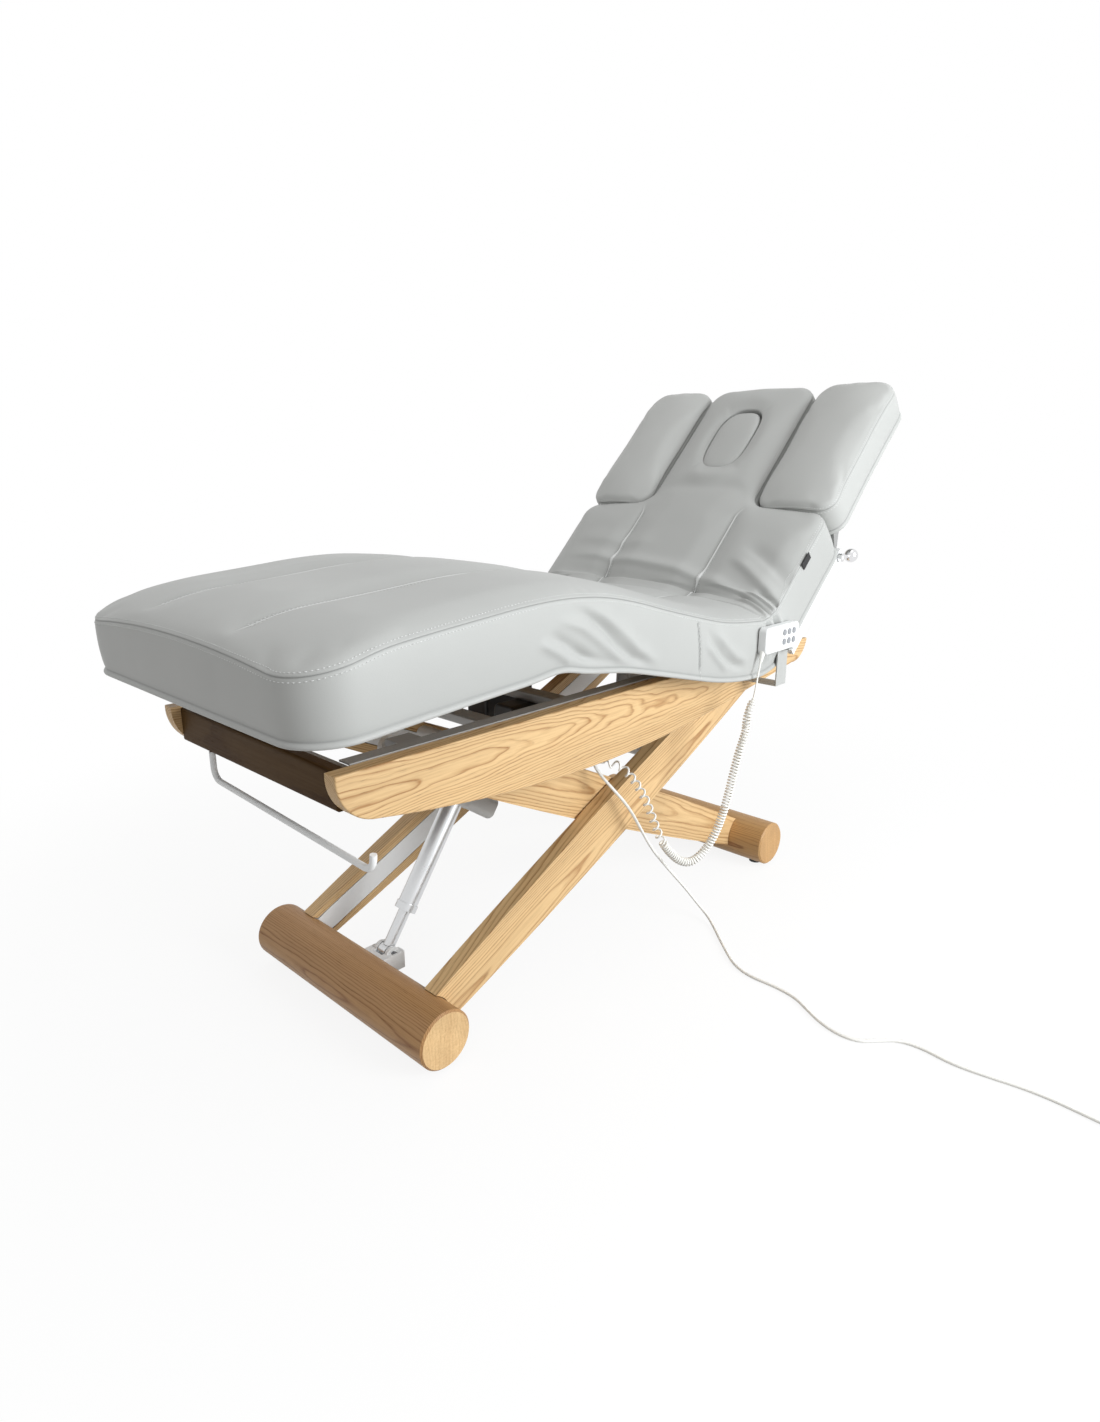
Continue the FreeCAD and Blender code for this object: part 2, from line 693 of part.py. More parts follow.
def seat_cushion():
    """Seat pad between the thigh and back hinges; each end is round about its hinge."""
    span = "back_hinge_x - thigh_hinge_x"
    front_low = turned(26, 34, -1)
    front_high = turned("pad_top", 34, -1)
    front_mid = turned("pad_top", 61, -1)
    back_low, back_high, back_mid = turned(26, 78), turned("pad_top", 78), turned("pad_top", 84)
    shifted = [("%s + (%s)" % (span, point[0]), point[1]) for point in (back_low, back_high, back_mid)]
    profile = slab([
        (-12, "0 - skirt"),
        front_low,
        (*front_high, *front_mid),
        (0, "pad_top"),
        (span, "pad_top", *shifted[2]),
        shifted[1],
        shifted[0],
        (span + " + 6", "0 - skirt"),
    ], 900)
    plan = slab([
        (-200, "0 - seat_pad_half", "(%s) / 2" % span, "4 - seat_pad_half"),
        (span + " + 200", "0 - seat_pad_half"),
        (span + " + 200", "seat_pad_half", "(%s) / 2" % span, "seat_pad_half - 4"),
        (-200, "seat_pad_half"),
    ], 900, "XY_Plane")
    section = pad_section("seat_pad_half", 900, 0)
    pad = cut(common(profile, plan, section), recess(-200, 500, "board_low + 14.3 - 1"))
    node("seat_cushion", place(pad, ("thigh_hinge_x", 0, "hinge_z")))


def leg_cushions():
    """Thigh and calf pads; the thigh pad's end is a round knee that the calf pad's hollow end rides on."""
    reach = "pad_top + pad_gap"
    lip, hollow_mid, hollow_low = turned(reach, 64, -1), turned(reach, 35, -1), turned(reach, 6, -1)
    knee = "0 - thigh_length"
    knee_low = "%s - sqrt(pad_top^2 - skirt^2)" % knee
    knee_mid = turned("pad_top", 45, -1)
    waist = "(leg_pad_half + seat_pad_half) / 2 - 6"
    profile = slab([
        (-34, "pad_top"),
        (*lip, *hollow_mid),
        hollow_low,
        turned(34, 6, -1),
        (-34, "0 - skirt"),
        (knee_low, "0 - skirt", "%s + (%s)" % (knee, knee_mid[0]), knee_mid[1]),
        (knee, "pad_top"),
    ], 900)
    plan = slab([
        ("0 - thigh_length - 300", "0 - leg_pad_half", "0 - thigh_length / 2", "0 - (%s)" % waist),
        (100, "0 - seat_pad_half"),
        (100, "seat_pad_half", "0 - thigh_length / 2", waist),
        ("0 - thigh_length - 300", "leg_pad_half"),
    ], 900, "XY_Plane")
    section = pad_section("leg_pad_half", 1800, 0)
    pad = cut(common(profile, plan, section), recess("0 - thigh_length - 300", 100, BOARD_TOP))
    node("thigh_cushion", place(pad, ("thigh_hinge_x", 0, "hinge_z"), "thigh_lift"))

    low_x = "0 - sqrt((%s)^2 - skirt^2)" % reach
    tip_x = "0 - sqrt((%s)^2 - pad_top^2)" % reach
    end = "0 - calf_pad_length"
    bend = turned(reach, 42, -1)
    profile = slab([
        (tip_x, "pad_top", *bend),
        (low_x, "0 - skirt"),
        (end + " + 10", "0 - skirt", end, "pad_top / 2"),
        (end + " + 6", "pad_top"),
    ], 900)
    corner, half = "calf_corner", "leg_pad_half"
    bulge = "%s * 0.293" % corner
    plan = slab([
        (60, "0 - " + half),
        (60, half, "%s / 2" % end, half + " - 5"),
        ("%s + %s" % (end, corner), half, "%s + %s" % (end, bulge), "%s - %s" % (half, bulge)),
        (end + " - 3", "%s - %s" % (half, corner), end + " - 8", 0),
        (end + " - 3", "%s - %s" % (corner, half), "%s + %s" % (end, bulge), "%s - %s" % (bulge, half)),
        ("%s + %s" % (end, corner), "0 - " + half, "%s / 2" % end, "5 - " + half),
    ], 900, "XY_Plane")
    section = pad_section("leg_pad_half", 1800, 0)
    pad = cut(common(profile, plan, section), recess(-462, 100, BOARD_TOP))
    node("calf_cushion", place(pad, (KNEE_X, 0, KNEE_Z), "0 - calf_drop"))


BACK_AT = ("back_hinge_x", 0, "hinge_z")
BACK_TURN = "0 - back_lift"


def back_cushions():
    """Back pad, head pad with its oval face hole, and the plug that fills the hole."""
    reach = "pad_top + pad_gap"
    lip, hollow_low = turned(reach, 20), turned(reach, 6)
    profile = slab([
        (99, "pad_top"),
        (*lip, *turned(reach, 13)),
        hollow_low,
        turned(34, 6),
        (34, -12),
        ("back_pad_length - 12", -12),
        ("back_pad_length - 2", "pad_top / 2"),
        ("back_pad_length - 6", "pad_top - 14", "back_pad_length - 10", "pad_top - 4"),
        ("back_pad_length - 20", "pad_top"),
    ], 900)
    shoulder = "head_pad_half + 46"
    plan = slab([
        (-60, "0 - seat_pad_half", 180, "4 - seat_pad_half"),
        ("back_pad_length - 30", "0 - seat_pad_half", "back_pad_length - 9", "9 - seat_pad_half"),
        ("back_pad_length", "30 - seat_pad_half"),
        ("back_pad_length", "seat_pad_half - 30", "back_pad_length - 9", "seat_pad_half - 9"),
        ("back_pad_length - 30", "seat_pad_half", 180, "seat_pad_half - 4"),
        (-60, "seat_pad_half"),
    ], 900, "XY_Plane")
    pad = cut(common(profile, plan, pad_section("seat_pad_half", 1200, 0)), recess(-100, 500, BOARD_TOP))
    node("back_cushion", place(pad, BACK_AT, BACK_TURN))

    start, finish, half = "back_pad_length + 0.5", "head_pad_end", "head_pad_half"
    middle = "oval_middle"
    plan = slab([
        (start, "0 - (%s)" % shoulder, "%s + 13" % start, "0 - %s - 13" % half),
        ("%s + 46" % start, "0 - " + half, "(%s) + 20" % middle, "3 - " + half),
        (finish + " - 34", "0 - " + half, finish + " - 10", "10 - " + half),
        (finish, "34 - " + half, finish + " + 2", 0),
        (finish, half + " - 34", finish + " - 10", half + " - 10"),
        (finish + " - 34", half, "(%s) + 20" % middle, half + " - 3"),
        ("%s + 46" % start, half, "%s + 13" % start, half + " + 13"),
        (start, shoulder),
    ], 900, "XY_Plane")
    crown = slab([
        ("0 - (%s)" % shoulder, BOARD_TOP),
        ("0 - (%s)" % shoulder, "pad_top - 22", "0 - head_pad_half * 0.55", "pad_top - 5"),
        (0, "pad_top - 2", "head_pad_half * 0.55", "pad_top - 5"),
        (shoulder, "pad_top - 22"),
        (shoulder, BOARD_TOP),
    ], 2000, "YZ_Plane")
    hole = oval("oval_long", "oval_wide", -20, 200, middle)
    node("head_cushion", place(cut(common(plan, crown), hole), BACK_AT, BACK_TURN))

    post = oval("oval_long - oval_gap", "oval_wide - oval_gap", BOARD_TOP + " + 0.3", "pad_top - 6", middle)
    doc.recompute()
    top = number("pad_top - 6")
    plug = soften(post, 12, lambda edge: edge.CenterOfMass.z > top - 0.01)
    node("face_plug", place(plug, BACK_AT, BACK_TURN))


def arm_pads():
    """Padded arm rests beside the head pad, each on a steel arm that turns on the side bar's end."""
    for side, name in SIDES:
        inner, outer = "%d * arm_pad_inner" % side, "%d * arm_pad_outer" % side
        mid_y = "%d * (arm_pad_inner + arm_pad_outer) / 2" % side
        start, finish = "arm_pad_start", "arm_pad_end"
        plan = slab([
            ("%s + 34" % start, inner, "(%s + %s) / 2" % (start, finish), "%s + %d * 3" % (inner, side)),
            ("%s - 42" % finish, inner, "%s - 12" % finish, "%s + %d * 12" % (inner, side)),
            (finish, "%s + %d * 42" % (inner, side)),
            (finish, "%s - %d * 42" % (outer, side), "%s - 12" % finish, "%s - %d * 12" % (outer, side)),
            ("%s - 42" % finish, outer, "(%s + %s) / 2" % (start, finish), "%s - %d * 3" % (outer, side)),
            ("%s + 34" % start, outer, "%s + 10" % start, "%s - %d * 10" % (outer, side)),
            (start, "%s - %d * 34" % (outer, side)),
            (start, "%s + %d * 34" % (inner, side), "%s + 10" % start, "%s + %d * 10" % (inner, side)),
        ], 900, "XY_Plane")
        low = "pad_top - seam_drop - arm_pad_thick"
        half = "(arm_pad_outer - arm_pad_inner) / 2"
        crown = slab([
            ("0 - (%s)" % half, low),
            ("0 - (%s)" % half, "pad_top - 22", "3 - (%s)" % half, "pad_top - 13"),
            ("12 - (%s)" % half, "pad_top - 9", 0, "pad_top - 1"),
            ("(%s) - 12" % half, "pad_top - 9", "(%s) - 3" % half, "pad_top - 13"),
            (half, "pad_top - 22"),
            (half, low),
        ], 2000, "YZ_Plane")
        place(crown, (0, mid_y, 0))
        node("arm_pad_" + name, place(common(plan, crown), BACK_AT, BACK_TURN))
        arm = slab([
            ("arm_axis_s", -44, "arm_axis_s - 14", -30),
            ("arm_axis_s", -16),
            ("back_pad_length + 5", -16),
            ("arm_pad_start + 16", low),
            ("arm_pad_end - 120", low),
            ("arm_pad_end - 130", "(%s) - 14" % low),
            ("arm_pad_start + 40", "(%s) - 18" % low),
        ], 10)
        bore = rod("6 + running_gap", 12, ("arm_axis_s", -6, -30))
        bracket = place(cut(arm, bore), (0, "%d * 362" % side, 0))
        node("arm_bracket_" + name, place(group(bracket), BACK_AT, BACK_TURN))


def arm_levers():
    """Ball-ended clamp levers on the outer faces of the side bars."""
    for side, name in SIDES:
        hub = rod(11, 9, (0, -4.5, 0))
        handle = rod(4.5, 44, (0, 0, 0), "z", 5.5)
        knob = ball(18, (0, 0, 56))
        bore = rod("5 + running_gap", 12, (0, -6, 0))
        lever = place(cut(fuse(hub, handle, knob), bore), (0, 0, 0), 133)
        at = place(group(lever), ("arm_axis_s - 12", "%d * 392.5" % side, -26))
        node("arm_lever_" + name, place(group(at), BACK_AT, BACK_TURN))


def boards():
    under = ("board_half * 2", "board_thick")
    seat = box(("thigh_hinge_x + 20", "0 - board_half", "channel_low + channel_high"),
               ("back_hinge_x - thigh_hinge_x - 40", under[0], under[1]))
    node("seat_board", seat)
    thigh = box(("24 - thigh_length", "0 - board_half", "board_low"),
                ("thigh_length - 174", under[0], under[1]))
    node("thigh_board", place(group(thigh), ("thigh_hinge_x", 0, "hinge_z"), "thigh_lift"))
    calf = box((-456, "0 - board_half", "board_low"), (306, under[0], under[1]))
    node("calf_board", place(group(calf), (KNEE_X, 0, KNEE_Z), "0 - calf_drop"))
    lower = box((150, "0 - board_half", "board_low"), ("back_pad_length - 158", under[0], under[1]))
    upper = box(("back_pad_length - 10", "20 - head_pad_half", "board_low"),
                ("head_pad_end - back_pad_length - 6", "2 * head_pad_half - 40", under[1]))
    hole = oval("oval_long - 14", "oval_wide - 14", -20, 60, "oval_middle")
    node("back_board", place(cut(fuse(lower, upper), hole), BACK_AT, BACK_TURN))


def arms():
    """Welded steel frames under the thigh, calf and back sections."""
    at_thigh = ("thigh_hinge_x", 0, "hinge_z")
    knee_half = "thigh_arm_y - arm_thick / 2"
    knee_at = ("0 - thigh_length", "0 - (%s)" % knee_half, 0)
    knee_shaft = rod("trunnion_radius", "2 * (%s)" % knee_half, knee_at)
    levers = drive_lever(110, "0 - leg_lever_set", -75, 4)
    plates = section_arms(-1, "thigh_length", "thigh_arm_y")
    thigh = group(*plates, torsion_tube("thigh_arm_y"), *levers, knee_shaft)
    node("thigh_arms", place(thigh, at_thigh, "thigh_lift"))
    calf = group(*section_arms(-1, "calf_arm_length", "calf_arm_y"))
    node("calf_arms", place(calf, (KNEE_X, 0, KNEE_Z), "0 - calf_drop"))

    levers = drive_lever(138, "back_lever_set", 75, 34)
    back = group(*section_arms(1, 392, "back_arm_y"), torsion_tube("back_arm_y"), *levers)
    node("back_arms", place(back, BACK_AT, BACK_TURN))
    bars = [box((318, -372, -38), (32, 744, 22))]
    for side, name in SIDES:
        bar_y = "%d * 379 - 7" % side
        flat = box((60, bar_y, -46), ("arm_axis_s - 60", 14, 32))
        nose = rod(16, 14, ("arm_axis_s", bar_y, -30))
        pivot = rod(6, 29, ("arm_axis_s", "%d * 371.5 - 14.5" % side, -30))
        stud = rod(5, 11, ("arm_axis_s - 12", "%d * 391.5 - 5.5" % side, -26))
        bars.append(fuse(flat, nose, pivot, stud))
    node("back_side_bars", place(group(*bars), BACK_AT, BACK_TURN))


# Handset and paper roll holder

BUTTON_COLUMNS = ((83, "back"), (105, "legs"), (127, "height"))
BUTTON_ROWS = ((43, "up"), (21, "down"))


def handset():
    front = "handset_back_y - handset_thick"
    case = box(("handset_x", front, "handset_z"), ("handset_long", "handset_thick", "handset_tall"))
    case = soften(case, 12, along("y"))
    case = soften(case, 4, ends_of("y", number(front)))
    wells = []
    for column, motor in BUTTON_COLUMNS:
        for line, way in BUTTON_ROWS:
            x, z = "handset_x + %d" % column, "handset_z + %d" % line
            wells.append(rod(7.5, 8, (x, front + " - 2", z)))
            cap = rod(7, 5, (x, front + " - 1.6", z))
            node("button_%s_%s" % (motor, way), cap)
    case = node("handset_case", cut(case, *wells))
    # Flat hook that comes out under the seat, up behind the handset and round its lower edge
    back = "handset_back_y"
    plate = box(("handset_x + 96", back, "rail_top - 60"), (46, 3, 128))
    shelf = box(("handset_x + 96", back, "rail_top - 60"), (46, "0 - rail_out - (%s)" % back, 3))
    tongue = box(("handset_x + 108", front + " - 1", "handset_z - 4"), (22, "handset_thick + 1", 3.5))
    node("handset_hook", fuse(plate, shelf, tongue))
    return case


def roll_holder():
    """Bent round bar under the foot end that a roll of couch paper hangs on."""
    radius = number("holder_radius")
    points = [
        Vector(-824, 164, number("rail_top - end_board_height - 4")),
        Vector(-824, 164, 518),
        Vector(-824, -350, 496),
        Vector(-824, -354, 527),
    ]
    thing = doc.addObject("Part::Feature", "BentBar")
    thing.Shape = tube_along(points, radius, 24, 16)
    node("roll_holder", thing)


def control_box(handset_case):
    case = box((-320, "0 - channel_out + channel_deep + 2", 532), (200, 36, "cross_low - 532"))
    node("control_box", soften(soften(case, 6, along("x")), 5, along("z")))
    y = number("0 - channel_out + channel_deep + 20")
    mains = rod(6, 30, (MAINS_ROUTE[0][0], y, 502), "z", 9)
    plate = rod(11, 2, (MAINS_ROUTE[0][0], y, 530), "z")
    curly = rod(4.2, 16, (CURLY_ROUTE[-1][0], y, 516), "z", 8)
    leaves, after = Vector(*CURLY_ROUTE[0]), Vector(*CURLY_ROUTE[1])
    cone = rod(3.6, 24, CURLY_ROUTE[0], "z", 7)
    cone.Placement = Placement(leaves, Rotation(AXES["z"], leaves - after))
    relief = cut(cone, handset_case)
    node("cord_glands", group(fuse(mains, plate), curly, relief))


# Cords

MAINS_ROUTE = [
    (-150, -218, 501.7), (-150, -218, 480), (-148, -228, 456), (-136, -252, 426), (-88, -274, 364),
    (-40, -274, 294), (10, -270, 226), (58, -271, 172), (102, -277, 122), (138, -290, 76),
    (158, -310, 38), (160, -342, 13), (138, -374, 5), (100, -416, 4), (62, -458, 5),
    (28, -500, 4), (12, -548, 4), (16, -606, 4), (10, -660, 4), (-10, -697, 4),
    (-32, -736, 4), (-45, -780, 4), (-40, -822, 4), (-12, -849, 4), (20, -880, 4),
    (28, -924, 4), (20, -980, 4), (28, -1036, 4), (40, -1092, 4), (45, -1140, 4),
    (43, -1190, 4), (38.4, -1242, 5.1), (38.4, -1290, 5.1),
]
CURLY_ROUTE = [
    (226, -403, 664), (220, -403, 642), (216, -402, 619), (214, -402, 596), (206, -401, 572),
    (185, -400, 534), (189, -399, 506), (177, -398, 480), (163, -396, 447), (151, -394, 404),
    (138, -390, 346), (127, -386, 308), (113, -380, 268), (95, -372, 236), (74, -364, 214),
    (48, -354, 203), (20, -344, 214), (-8, -336, 242), (-34, -330, 277), (-54, -324, 322),
    (-72, -316, 374), (-92, -308, 414), (-112, -300, 445), (-127, -292, 465), (-141, -282, 478),
    (-158, -264, 482), (-176, -244, 484), (-190, -228, 492), (-194, -219, 506), (-194, -218, 516),
]


def polygon(centre, direction, radius, sides):
    """A regular outline square to a direction."""
    turn = Rotation(AXES["z"], direction)
    corners = []
    for step in range(sides + 1):
        angle = 2 * math.pi * (step % sides + 0.5) / sides
        corners.append(centre + turn.multVec(Vector(radius * math.cos(angle), radius * math.sin(angle), 0)))
    return Part.Wire(Part.makePolygon(corners).Edges)


def checked_tube(edges, start, direction, radius, sides, name):
    """Pipe shell along joined edges; prints its volume beside section times length."""
    path = Part.Wire(edges)
    section = polygon(start, direction, radius, sides)
    solid = path.makePipeShell([section], True, False)
    area = sides * radius * radius * math.sin(2 * math.pi / sides) / 2
    ideal = area * path.Length
    print("%s: length %.0f mm, volume %.0f against %.0f mm3" % (name, path.Length, solid.Volume, ideal))
    return solid


def rounded_path(points, bend=None):
    """Straight runs joined by tangent arcs, each as large as its two runs allow unless a bend is given."""
    edges = []
    radii = []
    at = points[0]
    for before, corner, after in zip(points, points[1:], points[2:]):
        come, go = corner - before, after - corner
        turn = come.getAngle(go)
        cut_back = 0.45 * min(come.Length, go.Length)
        radius = cut_back / math.tan(turn / 2)
        if bend:
            radius = bend
            cut_back = bend * math.tan(turn / 2)
        radii.append(radius)
        first = corner - Vector(come).normalize() * cut_back
        last = corner + Vector(go).normalize() * cut_back
        inward = (Vector(go).normalize() - Vector(come).normalize()).normalize()
        middle = corner + inward * (radius / math.cos(turn / 2) - radius)
        edges.append(Part.LineSegment(at, first).toShape())
        edges.append(Part.Arc(first, middle, last).toShape())
        at = last
    edges.append(Part.LineSegment(at, points[-1]).toShape())
    return edges, radii


def tube_along(points, radius, bend, sides):
    edges, radii = rounded_path(points, bend)
    return checked_tube(edges, points[0], points[1] - points[0], radius, sides, "bent bar")


def biarc(start, heading, finish, final_heading):
    """Two arcs that leave one point and reach another along given headings."""
    chord = finish - start
    both = heading + final_heading
    a = 2 * (heading.dot(final_heading) - 1)
    b = -2 * chord.dot(both)
    c = chord.dot(chord)
    if abs(a) < 1e-9:
        reach = -c / b
    else:
        reach = (-b - math.sqrt(b * b - 4 * a * c)) / (2 * a)
    first, last = start + heading * reach, finish - final_heading * reach
    joint = (first + last) * 0.5
    return [arc_from(start, heading, joint), arc_from(joint, (last - first).normalize(), finish)]


def arc_from(start, heading, finish):
    chord = finish - start
    angle = heading.getAngle(chord)
    if angle < 1e-5:
        return Part.LineSegment(start, finish).toShape()
    side = (chord - heading * chord.dot(heading)).normalize()
    radius = chord.Length / (2 * math.sin(angle))
    centre = start + side * radius
    middle_way = (start + finish) * 0.5 - centre
    return Part.Arc(start, centre + middle_way.normalize() * radius, finish).toShape()


def tube_through(points, headings, radius, sides, name):
    edges = []
    for (p, t), (q, u) in zip(zip(points, headings), zip(points[1:], headings[1:])):
        edges += biarc(p, t, q, u)
    return checked_tube(edges, points[0], headings[0], radius, sides, name)


def least_gap(points, diameter):
    """Smallest clear distance between stretches of a tube that aren't neighbours along it."""
    along_tube = [0.0]
    for point, after in zip(points, points[1:]):
        along_tube.append(along_tube[-1] + point.distanceToPoint(after))
    least = along_tube[-1]
    for i, point in enumerate(points):
        for j in range(i + 1, len(points)):
            if along_tube[j] - along_tube[i] > 2.2 * diameter:
                least = min(least, point.distanceToPoint(points[j]))
    return least - diameter


def curly_point(length, turn_at, radius_at, distance, frames):
    """Point of the curls at a distance along their middle line."""
    step = min(int(distance / length * (len(frames) - 1)), len(frames) - 2)
    share = distance / length * (len(frames) - 1) - step
    (c0, n0, b0), (c1, n1, b1) = frames[step], frames[step + 1]
    centre = c0 * (1 - share) + c1 * share
    normal = (n0 * (1 - share) + n1 * share).normalize()
    other = (b0 * (1 - share) + b1 * share).normalize()
    angle = turn_at(distance)
    radius = radius_at(distance)
    return centre + (normal * math.cos(angle) + other * math.sin(angle)) * radius


def curly_cord():
    """Handset lead: curls wound on a smooth middle line, close on the hanging side and drawn open beyond."""
    curve = Part.BSplineCurve()
    curve.buildFromPoles([Vector(*point) for point in CURLY_ROUTE], False, 2)
    length = curve.length()
    count = 1200
    frames = []
    normal = None
    for step in range(count + 1):
        parameter = curve.parameterAtDistance(length * step / count, curve.FirstParameter)
        centre = curve.value(parameter)
        heading = Vector(*curve.tangent(parameter)[0]).normalize()
        if normal is None:
            normal = heading.cross(AXES["y"]).normalize()
        normal = (normal - heading * normal.dot(heading)).normalize()
        frames.append((centre, normal, heading.cross(normal)))
    first, last = 84.0, length - 66.0
    dense, loose = number("dense_curls"), number("open_curls")
    dense_end = first + 0.66 * (last - first)

    def turn_at(distance):
        if distance < dense_end:
            turns = dense * (distance - first) / (dense_end - first)
        else:
            turns = dense + loose * (distance - dense_end) / (last - dense_end)
        return 2 * math.pi * turns

    def radius_at(distance):
        ramp = 16.0
        rise = min(1.0, max(0.0, (distance - first) / ramp), max(0.0, (last - distance) / ramp))
        return full_radius * rise * rise * (3 - 2 * rise)

    full_radius = number("curl_radius")
    stations = [0.0, 2 * number("wire_radius"), 30.0, 56.0, first]
    quarters = int(4 * (dense + loose))
    at = first
    for quarter in range(1, quarters):
        wanted = 2 * math.pi * quarter / 4
        while turn_at(at) < wanted and at < last:
            at += 0.05
        stations.append(at)
    stations += [last, last + 22, length - 26, length - 2 * number("wire_radius"), length]
    nudge = 0.02

    def place_at(distance):
        return curly_point(length, turn_at, radius_at, min(max(distance, 0.0), length), frames)

    points = [place_at(distance) for distance in stations]
    headings = []
    for distance in stations:
        ahead, behind = min(distance + nudge, length), max(distance - nudge, 0.0)
        headings.append((place_at(ahead) - place_at(behind)).normalize())
    headings[1] = headings[0] = (points[1] - points[0]).normalize()
    headings[-2] = headings[-1] = (points[-1] - points[-2]).normalize()
    wire = number("wire_radius")
    sampled = [place_at(first + (last - first) * i / 2400) for i in range(2401)]
    print("curly cord: least gap to itself %.2f mm" % least_gap(sampled, 2 * wire))
    thing = doc.addObject("Part::Feature", "Curls")
    thing.Shape = tube_through(points, headings, wire, 4, "curly cord")
    node("curly_cord", thing)


COIL_CENTRE = Vector(85.6, -1290, 0)
PLUG_Z = 7.0


def mains_cord():
    points = [Vector(*point) for point in MAINS_ROUTE]
    edges, radii = rounded_path(points)
    print("mains cord radii: " + " ".join("%.0f" % radius for radius in radii))
    radius = number("mains_radius")
    thing = doc.addObject("Part::Feature", "MainsLead")
    thing.Shape = checked_tube(edges, points[0], points[1] - points[0], radius, 6, "mains cord")
    node("mains_cord", thing)


def mains_coil():
    """Spare lead wound flat, inwards on the floor and out again on top, then down to the plug."""
    radius, turns = number("mains_radius"), number("coil_turns")
    pitch = 2 * radius + 1.7
    half = turns / 2
    outer = number("coil_radius") + pitch * half / 2

    def place_at(turn):
        if turn <= half:
            r, level = outer - pitch * turn, 0.0
        elif turn <= half + 0.5:
            r, level = outer - pitch * half, 2 * (turn - half)
        else:
            r, level = outer - pitch * half + pitch * (turn - half - 0.5), 1.0
        smooth = level * level * (3 - 2 * level)
        angle = math.pi - 2 * math.pi * turn
        z = radius + number("coil_lift") + smooth * pitch
        return Vector(math.cos(angle) * r, -math.sin(angle) * r, z) + COIL_CENTRE

    last = turns + 0.25
    stations = [quarter / 4 for quarter in range(int(4 * last) + 1)]
    nudge = 0.0005
    points = [place_at(turn) for turn in stations]
    headings = []
    for turn in stations:
        ahead, behind = min(turn + nudge, last), max(turn - nudge, 0.0)
        headings.append((place_at(ahead) - place_at(behind)).normalize())
    headings[0] = Vector(0, -1, 0)
    plug_at = points[-1] + Vector(46, -2, PLUG_Z - points[-1].z)
    points += [plug_at - AXES["x"] * 2 * radius, plug_at]
    headings += [AXES["x"], AXES["x"]]
    sampled = [place_at(last * i / 400) for i in range(401)]
    print("mains coil: least gap to itself %.2f mm" % least_gap(sampled, 2 * radius))
    thing = doc.addObject("Part::Feature", "MainsCoil")
    thing.Shape = tube_through(points, headings, radius, 6, "mains coil")
    node("mains_coil", thing)

    # Strap round the four wires on the side of the coil away from the bed
    mid_y = COIL_CENTRE.y
    inner_x, outer_x = COIL_CENTRE.x + outer - pitch * half - radius, COIL_CENTRE.x + outer + radius
    low, high = 0.2, 2 * radius + number("coil_lift") + pitch
    loop = box((inner_x - 2.6, mid_y - 5, low), (outer_x - inner_x + 5.2, 10, high - low + 2.2))
    room = box((inner_x - 1, mid_y - 6, low + 1.2), (outer_x - inner_x + 2, 12, high - low - 0.2))
    node("coil_tie", cut(loop, room))

    # Flat two-pin plug with its tapered relief
    relief = rod(4, 26, tuple(plug_at), "x", 6.4)
    body_x = plug_at.x + 24
    grip = slab([
        (body_x, -9 + plug_at.y),
        (body_x + 16, -13 + plug_at.y),
        (body_x + 36, -17.5 + plug_at.y),
        (body_x + 36, 17.5 + plug_at.y),
        (body_x + 16, 13 + plug_at.y),
        (body_x, 9 + plug_at.y),
    ], 13.6, "XY_Plane")
    place(grip, (0, 0, plug_at.z))
    pins = [rod(2, 19, (body_x + 35, plug_at.y + 9.3 * side, plug_at.z), "x") for side in (LEFT, RIGHT)]
    node("mains_plug", fuse(relief, grip, *pins))


def build():
    foot_beam("front_foot_beam", FRONT_X, "outer_leg_y", OUTER_TURN)
    foot_beam("rear_foot_beam", REAR_X, "inner_leg_y", INNER_TURN)
    glides("front_glides", FRONT_X)
    glides("rear_glides", REAR_X)
    outer_legs()
    inner_legs()
    lift_clevis()
    lift_drive()
    rails()
    end_board()
    side_channels()
    frame_members()
    boards()
    arms()
    drive("back", 75, -225, 361.86, 138, 32, 124)
    drive("leg", -75, -280, 151.08, 110, 20, 28)
    seat_cushion()
    leg_cushions()
    back_cushions()
    arm_pads()
    arm_levers()
    handset_case = handset()
    roll_holder()
    control_box(handset_case)
    curly_cord()
    mains_cord()
    mains_coil()


def export():
    """Tests every object and writes each named piece to its file."""
    doc.recompute()
    for thing in doc.Objects:
        if {"Invalid", "Error"} & set(thing.State):
            raise RuntimeError("%s (%s) did not build" % (thing.Label, thing.Name))
    os.makedirs("parts", exist_ok=True)
    for thing in NODES:
        shape = thing.Shape
        if shape.isNull() or not shape.isValid() or not shape.Solids:
            raise RuntimeError("%s has no valid solid" % thing.Label)
        shape.exportStep("parts/%s.step" % thing.Label)
    print("%d pieces written" % len(NODES))


build()
export()
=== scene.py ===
import math

import bmesh
import bpy
from bpy.props import FloatProperty, FloatVectorProperty, IntProperty, PointerProperty
from bpy.types import Operator, Panel, PropertyGroup
from mathutils import Matrix, Vector
from mathutils.bvhtree import BVHTree


